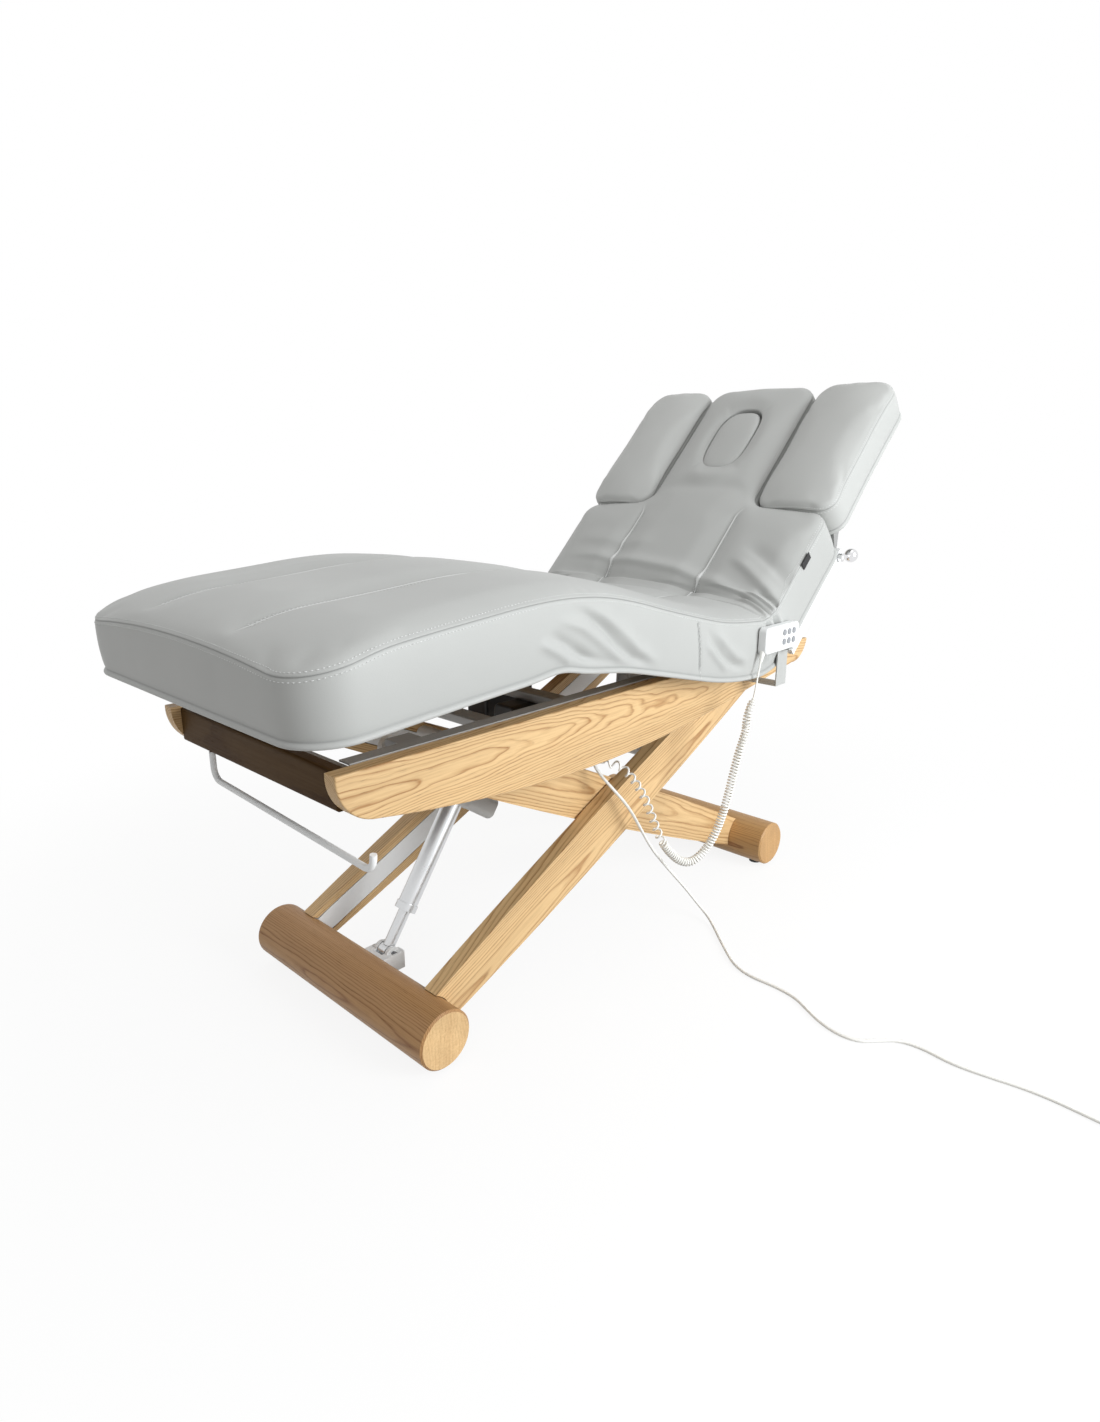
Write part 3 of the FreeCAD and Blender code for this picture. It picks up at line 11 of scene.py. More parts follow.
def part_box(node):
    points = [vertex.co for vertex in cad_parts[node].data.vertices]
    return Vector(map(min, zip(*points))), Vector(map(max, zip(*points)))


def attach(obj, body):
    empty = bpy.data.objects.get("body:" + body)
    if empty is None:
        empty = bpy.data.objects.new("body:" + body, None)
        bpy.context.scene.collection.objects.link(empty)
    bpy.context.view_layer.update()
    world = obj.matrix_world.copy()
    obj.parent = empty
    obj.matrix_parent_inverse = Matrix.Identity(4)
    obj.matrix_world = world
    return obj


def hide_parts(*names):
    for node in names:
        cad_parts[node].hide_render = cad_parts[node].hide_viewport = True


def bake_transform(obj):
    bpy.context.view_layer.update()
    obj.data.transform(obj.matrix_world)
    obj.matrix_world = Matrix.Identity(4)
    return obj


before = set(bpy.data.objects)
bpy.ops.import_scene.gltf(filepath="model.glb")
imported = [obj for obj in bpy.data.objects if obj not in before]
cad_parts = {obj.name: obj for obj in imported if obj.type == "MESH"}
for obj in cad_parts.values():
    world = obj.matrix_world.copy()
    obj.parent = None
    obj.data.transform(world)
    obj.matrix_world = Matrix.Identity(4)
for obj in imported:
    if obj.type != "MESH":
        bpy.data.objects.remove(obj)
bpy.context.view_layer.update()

bl_info = {
    "name": "Electric Spa Bed",
    "version": (1, 0, 0),
    "blender": (4, 5, 0),
    "location": "View3D > Sidebar > Spa Bed",
    "description": "Builds the looks of an electric spa bed around its frame",
    "category": "Object",
}


# Settings that a user may change

class SpaBedUpholstery(PropertyGroup):
    """Sizes and colour of the padded sections"""
    skin: FloatVectorProperty(name="Leatherette", description="Colour of the leatherette", subtype="COLOR",
                              size=3, min=0, max=1, default=(0.446, 0.453, 0.440))
    thread: FloatVectorProperty(name="Thread", description="Colour of the sewing thread", subtype="COLOR",
                                size=3, min=0, max=1, default=(0.66, 0.67, 0.66))
    shoulder: FloatProperty(name="Shoulder", description="Radius of the rounded top edge", unit="LENGTH",
                            default=0.026, min=0.01, max=0.04)
    crown: FloatProperty(name="Crown", description="Height of the middle above the edges", unit="LENGTH",
                         default=0.012, min=0, max=0.03)
    channel: FloatProperty(name="Sewn channel", description="Depth of the two lengthwise seams",
                           unit="LENGTH", default=0.0062, min=0, max=0.012)
    drop: FloatProperty(name="Seam drop", description="Depth of the edge seam below the top panel",
                        unit="LENGTH", default=0.016, min=0.005, max=0.03)
    stitch: FloatProperty(name="Stitch", description="Length of one stitch with its gap", unit="LENGTH",
                          default=0.0072, min=0.004, max=0.02)
    needle: FloatProperty(name="Thread radius", description="Radius of the sewing thread", unit="LENGTH",
                          default=0.0008, min=0.0003, max=0.002)
    swell: FloatProperty(name="Swell", description="Furthest that the filling pushes the cover out",
                         unit="LENGTH", default=0.007, min=0, max=0.02)


class SpaBedTimber(PropertyGroup):
    """Colours and figure of the oak"""
    light: FloatVectorProperty(name="Early wood", description="Colour between the rings", subtype="COLOR",
                               size=3, min=0, max=1, default=(0.71, 0.487, 0.246))
    dark: FloatVectorProperty(name="Late wood", description="Colour of the rings", subtype="COLOR", size=3,
                              min=0, max=1, default=(0.37, 0.185, 0.064))
    ring: FloatProperty(name="Ring width", description="Distance between growth rings", unit="LENGTH",
                        default=0.0046, min=0.002, max=0.02)


class SpaBedMetal(PropertyGroup):
    """Colours of the painted and plated pieces"""
    white: FloatVectorProperty(name="White coat", description="Colour of the white powder coat",
                               subtype="COLOR", size=3, min=0, max=1, default=(0.86, 0.87, 0.87))
    grey: FloatVectorProperty(name="Grey coat", description="Colour of the grey powder coat", subtype="COLOR",
                              size=3, min=0, max=1, default=(0.36, 0.36, 0.355))
    dark: FloatVectorProperty(name="Dark mouldings", description="Colour of the motor housings",
                              subtype="COLOR", size=3, min=0, max=1, default=(0.017, 0.0165, 0.016))


class SpaBedCords(PropertyGroup):
    """Sizes and colour of the leads"""
    sheath: FloatVectorProperty(name="Sheath", description="Colour of the leads", subtype="COLOR", size=3,
                                min=0, max=1, default=(0.88, 0.875, 0.84))
    mains_radius: FloatProperty(name="Mains radius", description="Radius of the mains lead", unit="LENGTH",
                                default=0.0035, min=0.002, max=0.006)
    wire_radius: FloatProperty(name="Wire radius", description="Radius of the curly lead's wire",
                               unit="LENGTH", default=0.0023, min=0.001, max=0.004)
    curl_radius: FloatProperty(name="Curl radius", description="Radius of the curls at the wire's middle",
                               unit="LENGTH", default=0.0083, min=0.004, max=0.015)
    dense_curls: IntProperty(name="Close curls", description="Curls on the hanging side",
                             default=76, min=10, max=150)
    open_curls: IntProperty(name="Open curls", description="Curls on the drawn side",
                            default=12, min=4, max=40)


class SpaBedStage(PropertyGroup):
    """Light and floor"""
    floor: FloatVectorProperty(name="Floor", description="Colour of the floor", subtype="COLOR", size=3,
                               min=0, max=1, default=(0.42, 0.41, 0.40))
    sky: FloatProperty(name="Sky", description="Strength of the even light", default=0.66, min=0, max=2)
    key: FloatProperty(name="Key", description="Power of the main lamp in watts", default=129, min=0,
                       max=1000)
    top: FloatProperty(name="Top", description="Power of the lamp overhead in watts", default=14, min=0,
                       max=1000)


# Node helpers

def feed(tree, node, inputs):
    """Gives inputs of a node their values or links."""
    for socket, value in inputs.items():
        if isinstance(value, bpy.types.NodeSocket):
            tree.links.new(value, node.inputs[socket])
        else:
            node.inputs[socket].default_value = value
    return node


def put(tree, kind, inputs=None, **settings):
    """Adds a shader node with its settings and inputs."""
    made = tree.nodes.new(kind)
    for key, value in settings.items():
        setattr(made, key, value)
    return feed(tree, made, inputs or {})


def sums(tree, operation, first, second=0.0, clamp=False):
    """The result of a Math node."""
    made = put(tree, "ShaderNodeMath", {0: first, 1: second}, operation=operation, use_clamp=clamp)
    return made.outputs[0]


def plus(tree, first, second, clamp=False):
    """Two values added."""
    return sums(tree, "ADD", first, second, clamp)


def times(tree, first, second, clamp=False):
    """Two values multiplied."""
    return sums(tree, "MULTIPLY", first, second, clamp)


def blend_colour(tree, share, first, second, mode="MIX"):
    """Two colours blended by a share."""
    made = put(tree, "ShaderNodeMix", {0: share, 6: first, 7: second}, data_type="RGBA", blend_type=mode)
    return made.outputs[2]


def ramp(tree, value, stops):
    """A value turned into grey by stops of place and tone."""
    made = put(tree, "ShaderNodeValToRGB", {0: value})
    steps = made.color_ramp.elements
    while len(steps) < len(stops):
        steps.new(0.5)
    for step, (place, tone) in zip(steps, stops):
        step.position = place
        step.color = (tone, tone, tone, 1)
    return made.outputs[0]


def stretched(tree, vector, scale):
    """Coordinates scaled by their own amount along each axis."""
    return put(tree, "ShaderNodeVectorMath", {0: vector, 1: scale}, operation="MULTIPLY").outputs[0]


def noise(tree, vector, scale, detail, rough=0.5):
    """The grey of a noise texture."""
    return put(tree, "ShaderNodeTexNoise", {
        "Vector": vector, "Scale": scale, "Detail": detail, "Roughness": rough}).outputs[0]


def shared_group(name, inputs, outputs):
    """A node group with its sockets: the tree, the values given to it and its output node."""
    tree = bpy.data.node_groups.new(name, "ShaderNodeTree")
    for way, sockets in (("INPUT", inputs), ("OUTPUT", outputs)):
        for label, kind in sockets.items():
            tree.interface.new_socket(label, in_out=way, socket_type="NodeSocket" + kind)
    return tree, tree.nodes.new("NodeGroupInput").outputs, tree.nodes.new("NodeGroupOutput")


def oak_figure():
    """Growth rings round an axis along X, with fibre and pores."""
    tree, given, out = shared_group(
        "Oak Figure", {"Vector": "Vector", "Light": "Color", "Dark": "Color", "Ring": "Float",
                       "Taper": "Float", "Wander": "Float"},
        {"Color": "Color", "Height": "Float", "Roughness": "Float"})
    vector = given["Vector"]
    axes = put(tree, "ShaderNodeSeparateXYZ", {0: vector}).outputs
    slow = noise(tree, stretched(tree, vector, (3.2, 12.0, 12.0)), 1.0, 3.0)
    drift = times(tree, sums(tree, "SUBTRACT", slow, 0.5), given["Wander"])
    square = plus(tree, times(tree, axes[1], axes[1]), times(tree, axes[2], axes[2]))
    reach = plus(tree, sums(tree, "SQRT", square), times(tree, axes[0], given["Taper"]))
    turns = sums(tree, "DIVIDE", plus(tree, reach, drift), given["Ring"])
    late = ramp(tree, sums(tree, "FRACT", turns), [
        (0.0, 0.60), (0.08, 0.16), (0.50, 0.04), (0.76, 0.40), (0.92, 1.0), (1.0, 0.72)])
    whole = sums(tree, "FLOOR", turns)
    each = put(tree, "ShaderNodeTexWhiteNoise", {"W": whole}, noise_dimensions="1D").outputs[0]
    fibre = noise(tree, stretched(tree, vector, (7.0, 260.0, 260.0)), 1.0, 3.0)
    pores = noise(tree, stretched(tree, vector, (38.0, 900.0, 900.0)), 1.0, 1.0)
    pits = ramp(tree, pores, [(0.0, 0.0), (0.60, 0.0), (0.70, 1.0), (1.0, 1.0)])
    pits = times(tree, pits, plus(tree, late, 0.25), True)
    share = times(tree, late, plus(tree, times(tree, each, 0.55), 0.45))
    share = plus(tree, share, times(tree, sums(tree, "SUBTRACT", fibre, 0.5), 0.75), True)
    tone = blend_colour(tree, share, given["Light"], given["Dark"])
    broad = noise(tree, stretched(tree, vector, (1.2, 14.0, 14.0)), 1.0, 1.0)
    shade = plus(tree, 0.80, times(tree, broad, 0.38))
    shade = sums(tree, "SUBTRACT", shade, times(tree, pits, 0.30))
    level = put(tree, "ShaderNodeCombineColor", {0: shade, 1: shade, 2: shade}).outputs[0]
    height = plus(tree, times(tree, fibre, 0.35), times(tree, pits, -1.0))
    rough = plus(tree, 0.40, times(tree, pits, 0.25))
    feed(tree, out, {
        "Color": blend_colour(tree, 1.0, tone, level, "MULTIPLY"),
        "Height": sums(tree, "SUBTRACT", height, times(tree, late, 0.2)),
        "Roughness": plus(tree, rough, times(tree, fibre, 0.14))})
    return tree


def pebbled_skin():
    """Fine pebbles of a coated or moulded surface, with a slow unevenness, and a mask of the pebbles' hollows
    for painted shade.
    """
    tree, given, out = shared_group(
        "Pebbled Skin", {"Vector": "Vector", "Size": "Float", "Slow": "Float"},
        {"Height": "Float", "Crease": "Float", "Cloud": "Float"})
    vector = given["Vector"]
    fine = sums(tree, "DIVIDE", 1.0, given["Size"])
    cells = put(tree, "ShaderNodeTexVoronoi", {"Vector": vector, "Scale": fine}, feature="SMOOTH_F1").outputs[0]
    speck = noise(tree, vector, times(tree, fine, 0.6), 2.0)
    feed(tree, out, {
        "Height": plus(tree, times(tree, cells, -0.7), times(tree, speck, 0.6)),
        # A mask of the hollows between pebbles, used for painted shade.
        "Crease": ramp(tree, cells, [(0.0, 0.0), (0.55, 0.2), (1.0, 1.0)]),
        "Cloud": noise(tree, vector, sums(tree, "DIVIDE", 1.0, given["Slow"]), 2.0, 0.45)})
    return tree


def handled_film():
    """Faint cloudy marks and fine scratches that handling leaves."""
    tree, given, out = shared_group(
        "Handled Film", {"Vector": "Vector", "Size": "Float"}, {"Marks": "Float", "Scratches": "Float"})
    vector = given["Vector"]
    lines = noise(tree, stretched(tree, vector, (40.0, 900.0, 300.0)), 1.0, 1.0)
    feed(tree, out, {
        "Marks": noise(tree, vector, sums(tree, "DIVIDE", 1.0, given["Size"]), 5.0, 0.6),
        "Scratches": ramp(tree, lines, [(0.0, 0.0), (0.66, 0.0), (0.74, 1.0), (1.0, 1.0)])})
    return tree


GROUPS = {}


def use_group(tree, name, **inputs):
    """Puts a shared group in a tree, made at its first use, and returns its outputs."""
    makers = {"oak": oak_figure, "pebble": pebbled_skin, "film": handled_film}
    if name not in GROUPS:
        GROUPS[name] = makers[name]()
    return put(tree, "ShaderNodeGroup", inputs, node_tree=GROUPS[name]).outputs


def blank_material(name):
    """An empty material, its tree, its shader and its Object coordinates."""
    material = bpy.data.materials.new(name)
    material.use_nodes = True
    tree = material.node_tree
    shader = tree.nodes["Principled BSDF"]
    place = put(tree, "ShaderNodeTexCoord").outputs["Object"]
    return material, tree, shader, place


def bump(tree, shader, height, strength, distance):
    """Roughens a shader by a height."""
    made = put(tree, "ShaderNodeBump", {"Height": height, "Strength": strength, "Distance": distance})
    feed(tree, shader, {"Normal": made.outputs[0]})


def shaded(colour, factor=1.0):
    """A colour made lighter or darker, with full alpha."""
    return (colour[0] * factor, colour[1] * factor, colour[2] * factor, 1.0)


def oak(name, turn, pith, taper, wander, painted_shade=(1.0, 1.0, 1.0), ring=1.0, unshaded_ends=False, shine=0.42):
    """Oak whose grain runs along X after the turn, with its heart at the pith point, darkened by a painted
    shade except on unshaded ends.
    """
    wood = bpy.context.scene.spa_timber
    material, tree, shader, place = blank_material(name)
    turned = put(tree, "ShaderNodeMapping", {
        "Vector": place, "Rotation": tuple(math.radians(angle) for angle in turn)}, vector_type="POINT")
    moved = put(tree, "ShaderNodeMapping", {
        "Vector": turned.outputs[0], "Location": tuple(-p for p in pith)})
    # Painted shade: both wood colours are multiplied by it, to darken oak that the light reaches less.
    light = shaded([tone * part for tone, part in zip(wood.light, painted_shade)])
    dark = shaded([tone * part for tone, part in zip(wood.dark, painted_shade)])
    figure = use_group(tree, "oak", Vector=moved.outputs[0], Light=light, Dark=dark, Ring=wood.ring * ring,
                       Taper=taper, Wander=wander)
    colour = figure["Color"]
    # Unshaded ends: faces towards plus or minus Y have the painted shade divided out, so they stay lighter.
    if unshaded_ends:
        normal = put(tree, "ShaderNodeTexCoord").outputs["Normal"]
        facing = put(tree, "ShaderNodeSeparateXYZ", {0: normal}).outputs["Y"]
        end = put(tree, "ShaderNodeMapRange", {
            "Value": sums(tree, "ABSOLUTE", facing), "From Min": 0.90, "From Max": 0.98}).outputs[0]
        colour = blend_colour(tree, end, colour, shaded([1 / part for part in painted_shade]), "MULTIPLY")
    feed(tree, shader, {"Base Color": colour, "Roughness": figure["Roughness"], "Specular IOR Level": shine})
    bump(tree, shader, figure["Height"], 0.35, 0.0004)
    return material


def leatherette(name, tint=1.0):
    """Soft coated cloth, with painted shade in its seam grooves where the seam mark is above zero and in its
    pebbles' hollows, and pale thread colour where the mark is below zero.
    """
    cover = bpy.context.scene.spa_upholstery
    material, tree, shader, place = blank_material(name)
    skin = use_group(tree, "pebble", Vector=place, Size=0.0011, Slow=0.11)
    film = use_group(tree, "film", Vector=place, Size=0.16)
    # A tint above one makes a lighter copy of the same leatherette: painted light, used for the arm pads.
    tone = blend_colour(tree, skin["Cloud"], shaded(cover.skin, 0.965 * tint), shaded(cover.skin, 1.03 * tint))
    # The seam mark: above zero is painted shade in a groove, below zero the pale colour of the thread.
    shade_and_cord_mark = put(tree, "ShaderNodeAttribute", attribute_name="seam").outputs["Fac"]
    cord = times(tree, times(tree, shade_and_cord_mark, -1.6, True), 0.95)
    tone = blend_colour(tree, cord, tone, shaded(cover.thread, 1.1))
    seam = times(tree, sums(tree, "POWER", sums(tree, "MAXIMUM", shade_and_cord_mark, 0.0), 1.7), 0.86)
    # Painted shade in the pebbles' hollows, added to the painted shade of the seam grooves.
    painted_groove_shade = plus(tree, times(tree, skin["Crease"], 0.10), seam, True)
    # The painted shade darkens the leatherette towards 0.42 of its colour.
    feed(tree, shader, {
        "Base Color": blend_colour(tree, painted_groove_shade, tone, shaded(cover.skin, 0.42)),
        "Roughness": plus(tree, 0.43, times(tree, film["Marks"], 0.14)),
        "Specular IOR Level": 0.38, "Sheen Weight": 0.06, "Sheen Roughness": 0.5})
    bump(tree, shader, skin["Height"], 0.22, 0.0004)
    return material


def coated(name, colour, size, rough, metallic=0.0, grain=0.12):
    """Powder coat or moulded plastic with its fine texture and faint handling marks."""
    material, tree, shader, place = blank_material(name)
    skin = use_group(tree, "pebble", Vector=place, Size=size, Slow=0.12)
    film = use_group(tree, "film", Vector=place, Size=0.045)
    tone = blend_colour(tree, film["Marks"], shaded(colour, 0.94), shaded(colour, 1.04))
    worn = times(tree, film["Scratches"], 0.10)
    feed(tree, shader, {
        "Base Color": blend_colour(tree, worn, tone, shaded(colour, 0.7)),
        "Roughness": plus(tree, rough - 0.08, times(tree, film["Marks"], 0.16)), "Metallic": metallic})
    bump(tree, shader, skin["Height"], grain, 0.0003)
    return material


def plated(name, colour, rough):
    """Bright metal with faint marks and fine scratches."""
    material, tree, shader, place = blank_material(name)
    film = use_group(tree, "film", Vector=place, Size=0.03)
    change = plus(tree, times(tree, film["Marks"], 0.08), times(tree, film["Scratches"], 0.1))
    feed(tree, shader, {
        "Base Color": blend_colour(tree, film["Marks"], shaded(colour, 0.96), shaded(colour)),
        "Roughness": plus(tree, rough, change), "Metallic": 1.0})
    bump(tree, shader, film["Scratches"], 0.05, 0.0002)
    return material


def dress(material, *names):
    """Gives CAD nodes a material."""
    for name in names:
        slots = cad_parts[name].data.materials
        slots.clear()
        slots.append(material)


def eased(names, width):
    """Rounds the hard edges of CAD nodes."""
    for name in names:
        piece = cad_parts[name]
        piece.modifiers.new("Weld", "WELD").merge_threshold = 0.00002
        rounding = piece.modifiers.new("Rounding", "BEVEL")
        rounding.width = width
        rounding.segments = 2
        rounding.limit_method = "ANGLE"
        rounding.angle_limit = math.radians(40)
        for face in piece.data.polygons:
            face.use_smooth = True
        piece.modifiers.new("Shading", "WEIGHTED_NORMAL").keep_sharp = False


def as_mesh(name, shape):
    """The mesh of a finished shape, which is then freed."""
    mesh = bpy.data.meshes.new(name)
    shape.to_mesh(mesh)
    shape.free()
    return mesh


def evaluated(thing):
    """A new mesh of an object as its curve or its modifiers leave it."""
    graph = bpy.context.evaluated_depsgraph_get()
    return bpy.data.meshes.new_from_object(thing.evaluated_get(graph))


def new_piece(name, mesh, materials):
    """A new object in the scene with its materials."""
    thing = bpy.data.objects.new(name, mesh)
    bpy.context.scene.collection.objects.link(thing)
    for material in materials:
        mesh.materials.append(material)
    return thing


def smooth(low, high, value):
    """Rises from 0 to 1 between two values, level at both."""
    share = min(1.0, max(0.0, (value - low) / (high - low)))
    return share * share * (3 - 2 * share)


# Leads

MAINS_ROUTE = [
    (-0.150, -0.218, 0.5017), (-0.150, -0.218, 0.480), (-0.148, -0.228, 0.456), (-0.136, -0.252, 0.426),
    (-0.088, -0.274, 0.364), (-0.040, -0.274, 0.294), (0.010, -0.270, 0.226), (0.058, -0.271, 0.172),
    (0.102, -0.277, 0.122), (0.138, -0.290, 0.076), (0.158, -0.310, 0.038), (0.160, -0.342, 0.013),
    (0.138, -0.374, 0.005), (0.100, -0.416, 0.004), (0.062, -0.458, 0.005), (0.028, -0.500, 0.004),
    (0.012, -0.548, 0.004), (0.016, -0.606, 0.004), (0.010, -0.660, 0.004), (-0.010, -0.697, 0.004),
    (-0.032, -0.736, 0.004), (-0.045, -0.780, 0.004), (-0.040, -0.822, 0.004), (-0.012, -0.849, 0.004),
    (0.020, -0.880, 0.004), (0.028, -0.924, 0.004), (0.020, -0.980, 0.004), (0.028, -1.036, 0.004),
    (0.040, -1.092, 0.004), (0.045, -1.140, 0.004), (0.043, -1.190, 0.004), (0.0384, -1.242, 0.0051),
    (0.0384, -1.290, 0.0051),
]
CURLY_ROUTE = [
    (0.226, -0.403, 0.664), (0.220, -0.403, 0.642), (0.216, -0.402, 0.619), (0.214, -0.402, 0.596),
    (0.206, -0.401, 0.572), (0.185, -0.400, 0.534), (0.189, -0.399, 0.506), (0.177, -0.398, 0.480),
    (0.163, -0.396, 0.447), (0.151, -0.394, 0.404), (0.138, -0.390, 0.346), (0.127, -0.386, 0.308),
    (0.113, -0.380, 0.268), (0.095, -0.372, 0.236), (0.074, -0.364, 0.214), (0.048, -0.354, 0.203),
    (0.020, -0.344, 0.214), (-0.008, -0.336, 0.242), (-0.034, -0.330, 0.277), (-0.054, -0.324, 0.322),
    (-0.072, -0.316, 0.374), (-0.092, -0.308, 0.414), (-0.112, -0.300, 0.445), (-0.127, -0.292, 0.465),
    (-0.141, -0.282, 0.478), (-0.158, -0.264, 0.482), (-0.176, -0.244, 0.484), (-0.190, -0.228, 0.492),
    (-0.194, -0.219, 0.506), (-0.194, -0.218, 0.516),
]
COIL_MIDDLE = Vector((0.0856, -1.290, 0.0))


def smooth_line(name, points, resolution):
    """A NURBS curve with the points as its control points."""
    curve = bpy.data.curves.new(name, "CURVE")
    curve.dimensions = "3D"
    spline = curve.splines.new("NURBS")
    spline.points.add(len(points) - 1)
    for control, point in zip(spline.points, points):
        control.co = (*point, 1.0)
    spline.order_u = 3
    spline.use_endpoint_u = True
    spline.resolution_u = resolution
    curve.resolution_u = resolution
    thing = bpy.data.objects.new(name, curve)
    bpy.context.scene.collection.objects.link(thing)
    return thing


def read_line(thing):
    """The points of a curve's own line, in order."""
    mesh = evaluated(thing)
    points = [vertex.co.copy() for vertex in mesh.vertices]
    bpy.data.meshes.remove(mesh)
    return points


def read_line_of(points):
    """Points of the smooth line that a list of control points gives."""
    line = smooth_line("measured_line", points, 2)
    read = read_line(line)
    bpy.data.objects.remove(line)
    return read


def line_length(points):
    """Length of a line through points."""
    return sum((second - first).length for first, second in zip(points, points[1:]))


def thicken(thing, radius, resolution):
    """Gives a line its round section."""
    thing.data.bevel_depth = radius
    thing.data.bevel_resolution = resolution
    thing.data.use_fill_caps = True


def coil_points():
    """Turns of the spare lead: inwards on the floor, out again on top, then down to the plug."""
    radius = bpy.context.scene.spa_cords.mains_radius
    pitch, half, outer, low, steps = 0.0087, 2.0, 0.0472, 0.0051, 16
    points = []
    for step in range(1, int(4.25 * steps) + 1):
        turn = step / steps
        reach = outer - pitch * min(turn, half) + pitch * max(0.0, turn - half - 0.5)
        angle = math.pi - 2 * math.pi * turn
        lift = low + smooth(half, half + 0.5, turn) * pitch
        points.append(COIL_MIDDLE + Vector((math.cos(angle) * reach, -math.sin(angle) * reach, lift)))
    last = points[-1]
    plug = last + Vector((0.046, -0.002, 0.007 - last.z))
    points += [last + Vector((0.012, -0.0004, -0.0008)), last + Vector((0.026, -0.0014, -0.0046)),
               plug - Vector((2 * radius, 0, 0)), plug]
    return points


class SPABED_OT_leads(Operator):
    """Makes the mains lead with its coil, and the curly lead of the handset"""
    bl_idname = "spabed.leads"
    bl_label = "Leads"

    def execute(self, context):
        cords = context.scene.spa_cords
        sheath = coated("Lead Sheath", cords.sheath, 0.0009, 0.48, 0.0, 0.10)
        line = smooth_line("mains_line", [Vector(point) for point in MAINS_ROUTE] + coil_points(), 6)
        path = read_line(line)
        thicken(line, cords.mains_radius, 3)
        tube = evaluated(line)
        tube.materials.clear()
        for face in tube.polygons:
            face.use_smooth = True
        bpy.data.objects.remove(line)
        lead = new_piece("mains_lead", tube, [sheath])
        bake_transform(lead)
        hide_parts("mains_cord", "mains_coil")
        line_length(path)

        middle = smooth_line("curly_line", CURLY_ROUTE, 24)
        points = self.curls(read_line(middle), cords)
        bpy.data.objects.remove(middle)
        curly = smooth_line("curly_lead", points, 2)
        thicken(curly, cords.wire_radius, 2)
        curly.data.materials.append(sheath)
        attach(curly, "bed_frame")
        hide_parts("curly_cord")
        line_length(read_line_of(points))
        dress(sheath, "mains_plug", "cord_glands", "coil_tie")
        return {"FINISHED"}

    def curls(self, line, cords):
        """Points of the curls round a middle line, close on the hanging side and open beyond its foot."""
        lengths, frames, normal = [0.0], [], None
        for first, second in zip(line, line[1:]):
            lengths.append(lengths[-1] + (second - first).length)
        for index, point in enumerate(line):
            ahead = (line[min(index + 1, len(line) - 1)] - line[max(index - 1, 0)]).normalized()
            if normal is None:
                normal = ahead.cross(Vector((0, 1, 0))).normalized()
            normal = (normal - ahead * normal.dot(ahead)).normalized()
            frames.append((point, normal, ahead.cross(normal)))

        def at(distance):
            """The line's middle and its two sides at a distance along it."""
            index = next((low for low, far in enumerate(lengths[1:-1]) if far >= distance), len(lengths) - 2)
            share = (distance - lengths[index]) / max(1e-9, lengths[index + 1] - lengths[index])
            return [a.lerp(b, share) for a, b in zip(frames[index], frames[index + 1])]

        total = lengths[-1]
        first, last, run_in, per_turn = 0.084, total - 0.066, 0.016, 14
        bend = first + 0.66 * (last - first)
        close, drawn = cords.dense_curls * per_turn, cords.open_curls * per_turn
        points = [at(distance)[0] for distance in (0.0, 0.012, 0.035, 0.060)]
        for step in range(close + drawn + 1):
            if step < close:
                distance = first + (bend - first) * (step / close)
            else:
                distance = bend + (last - bend) * ((step - close) / drawn)
            centre, side, other = at(distance)
            angle = 2 * math.pi * step / per_turn
            reach = cords.curl_radius * smooth(0.0, run_in, min(distance - first, last - distance))
            points.append(centre + (side * math.cos(angle) + other * math.sin(angle)) * reach)
        return points + [at(total - rest)[0] for rest in (0.046, 0.024, 0.008, 0.0)]


# Stage

CAMERA_AT = Vector((-1.5178, -1.3816, 1.1054))
CAMERA_YAW, CAMERA_DIP, CAMERA_LENS = 43.35, 16.09, 21.82
FLOOR_SIZE, FLOOR_DROP = 14.0, 0.0004
# Name, place, aim, size and tint of each lamp
LAMPS = (
    ("key", (0.6, -3.6, 1.6), (0.1, 0.0, 0.75), 2.2, (0.97, 1.0, 1.02)),
    ("top", (0.2, -0.6, 4.2), (0.0, 0.0, 0.7), 3.0, (1.0, 0.99, 0.97)),
)


def set_up(name, data, at, ahead):
    """Puts a camera or a lamp at a place, looking ahead."""
    thing = bpy.data.objects.new(name, data)
    thing.location = at
    thing.rotation_mode = "QUATERNION"
    thing.rotation_quaternion = ahead.to_track_quat("-Z", "Y")
    bpy.context.scene.collection.objects.link(thing)
    return thing


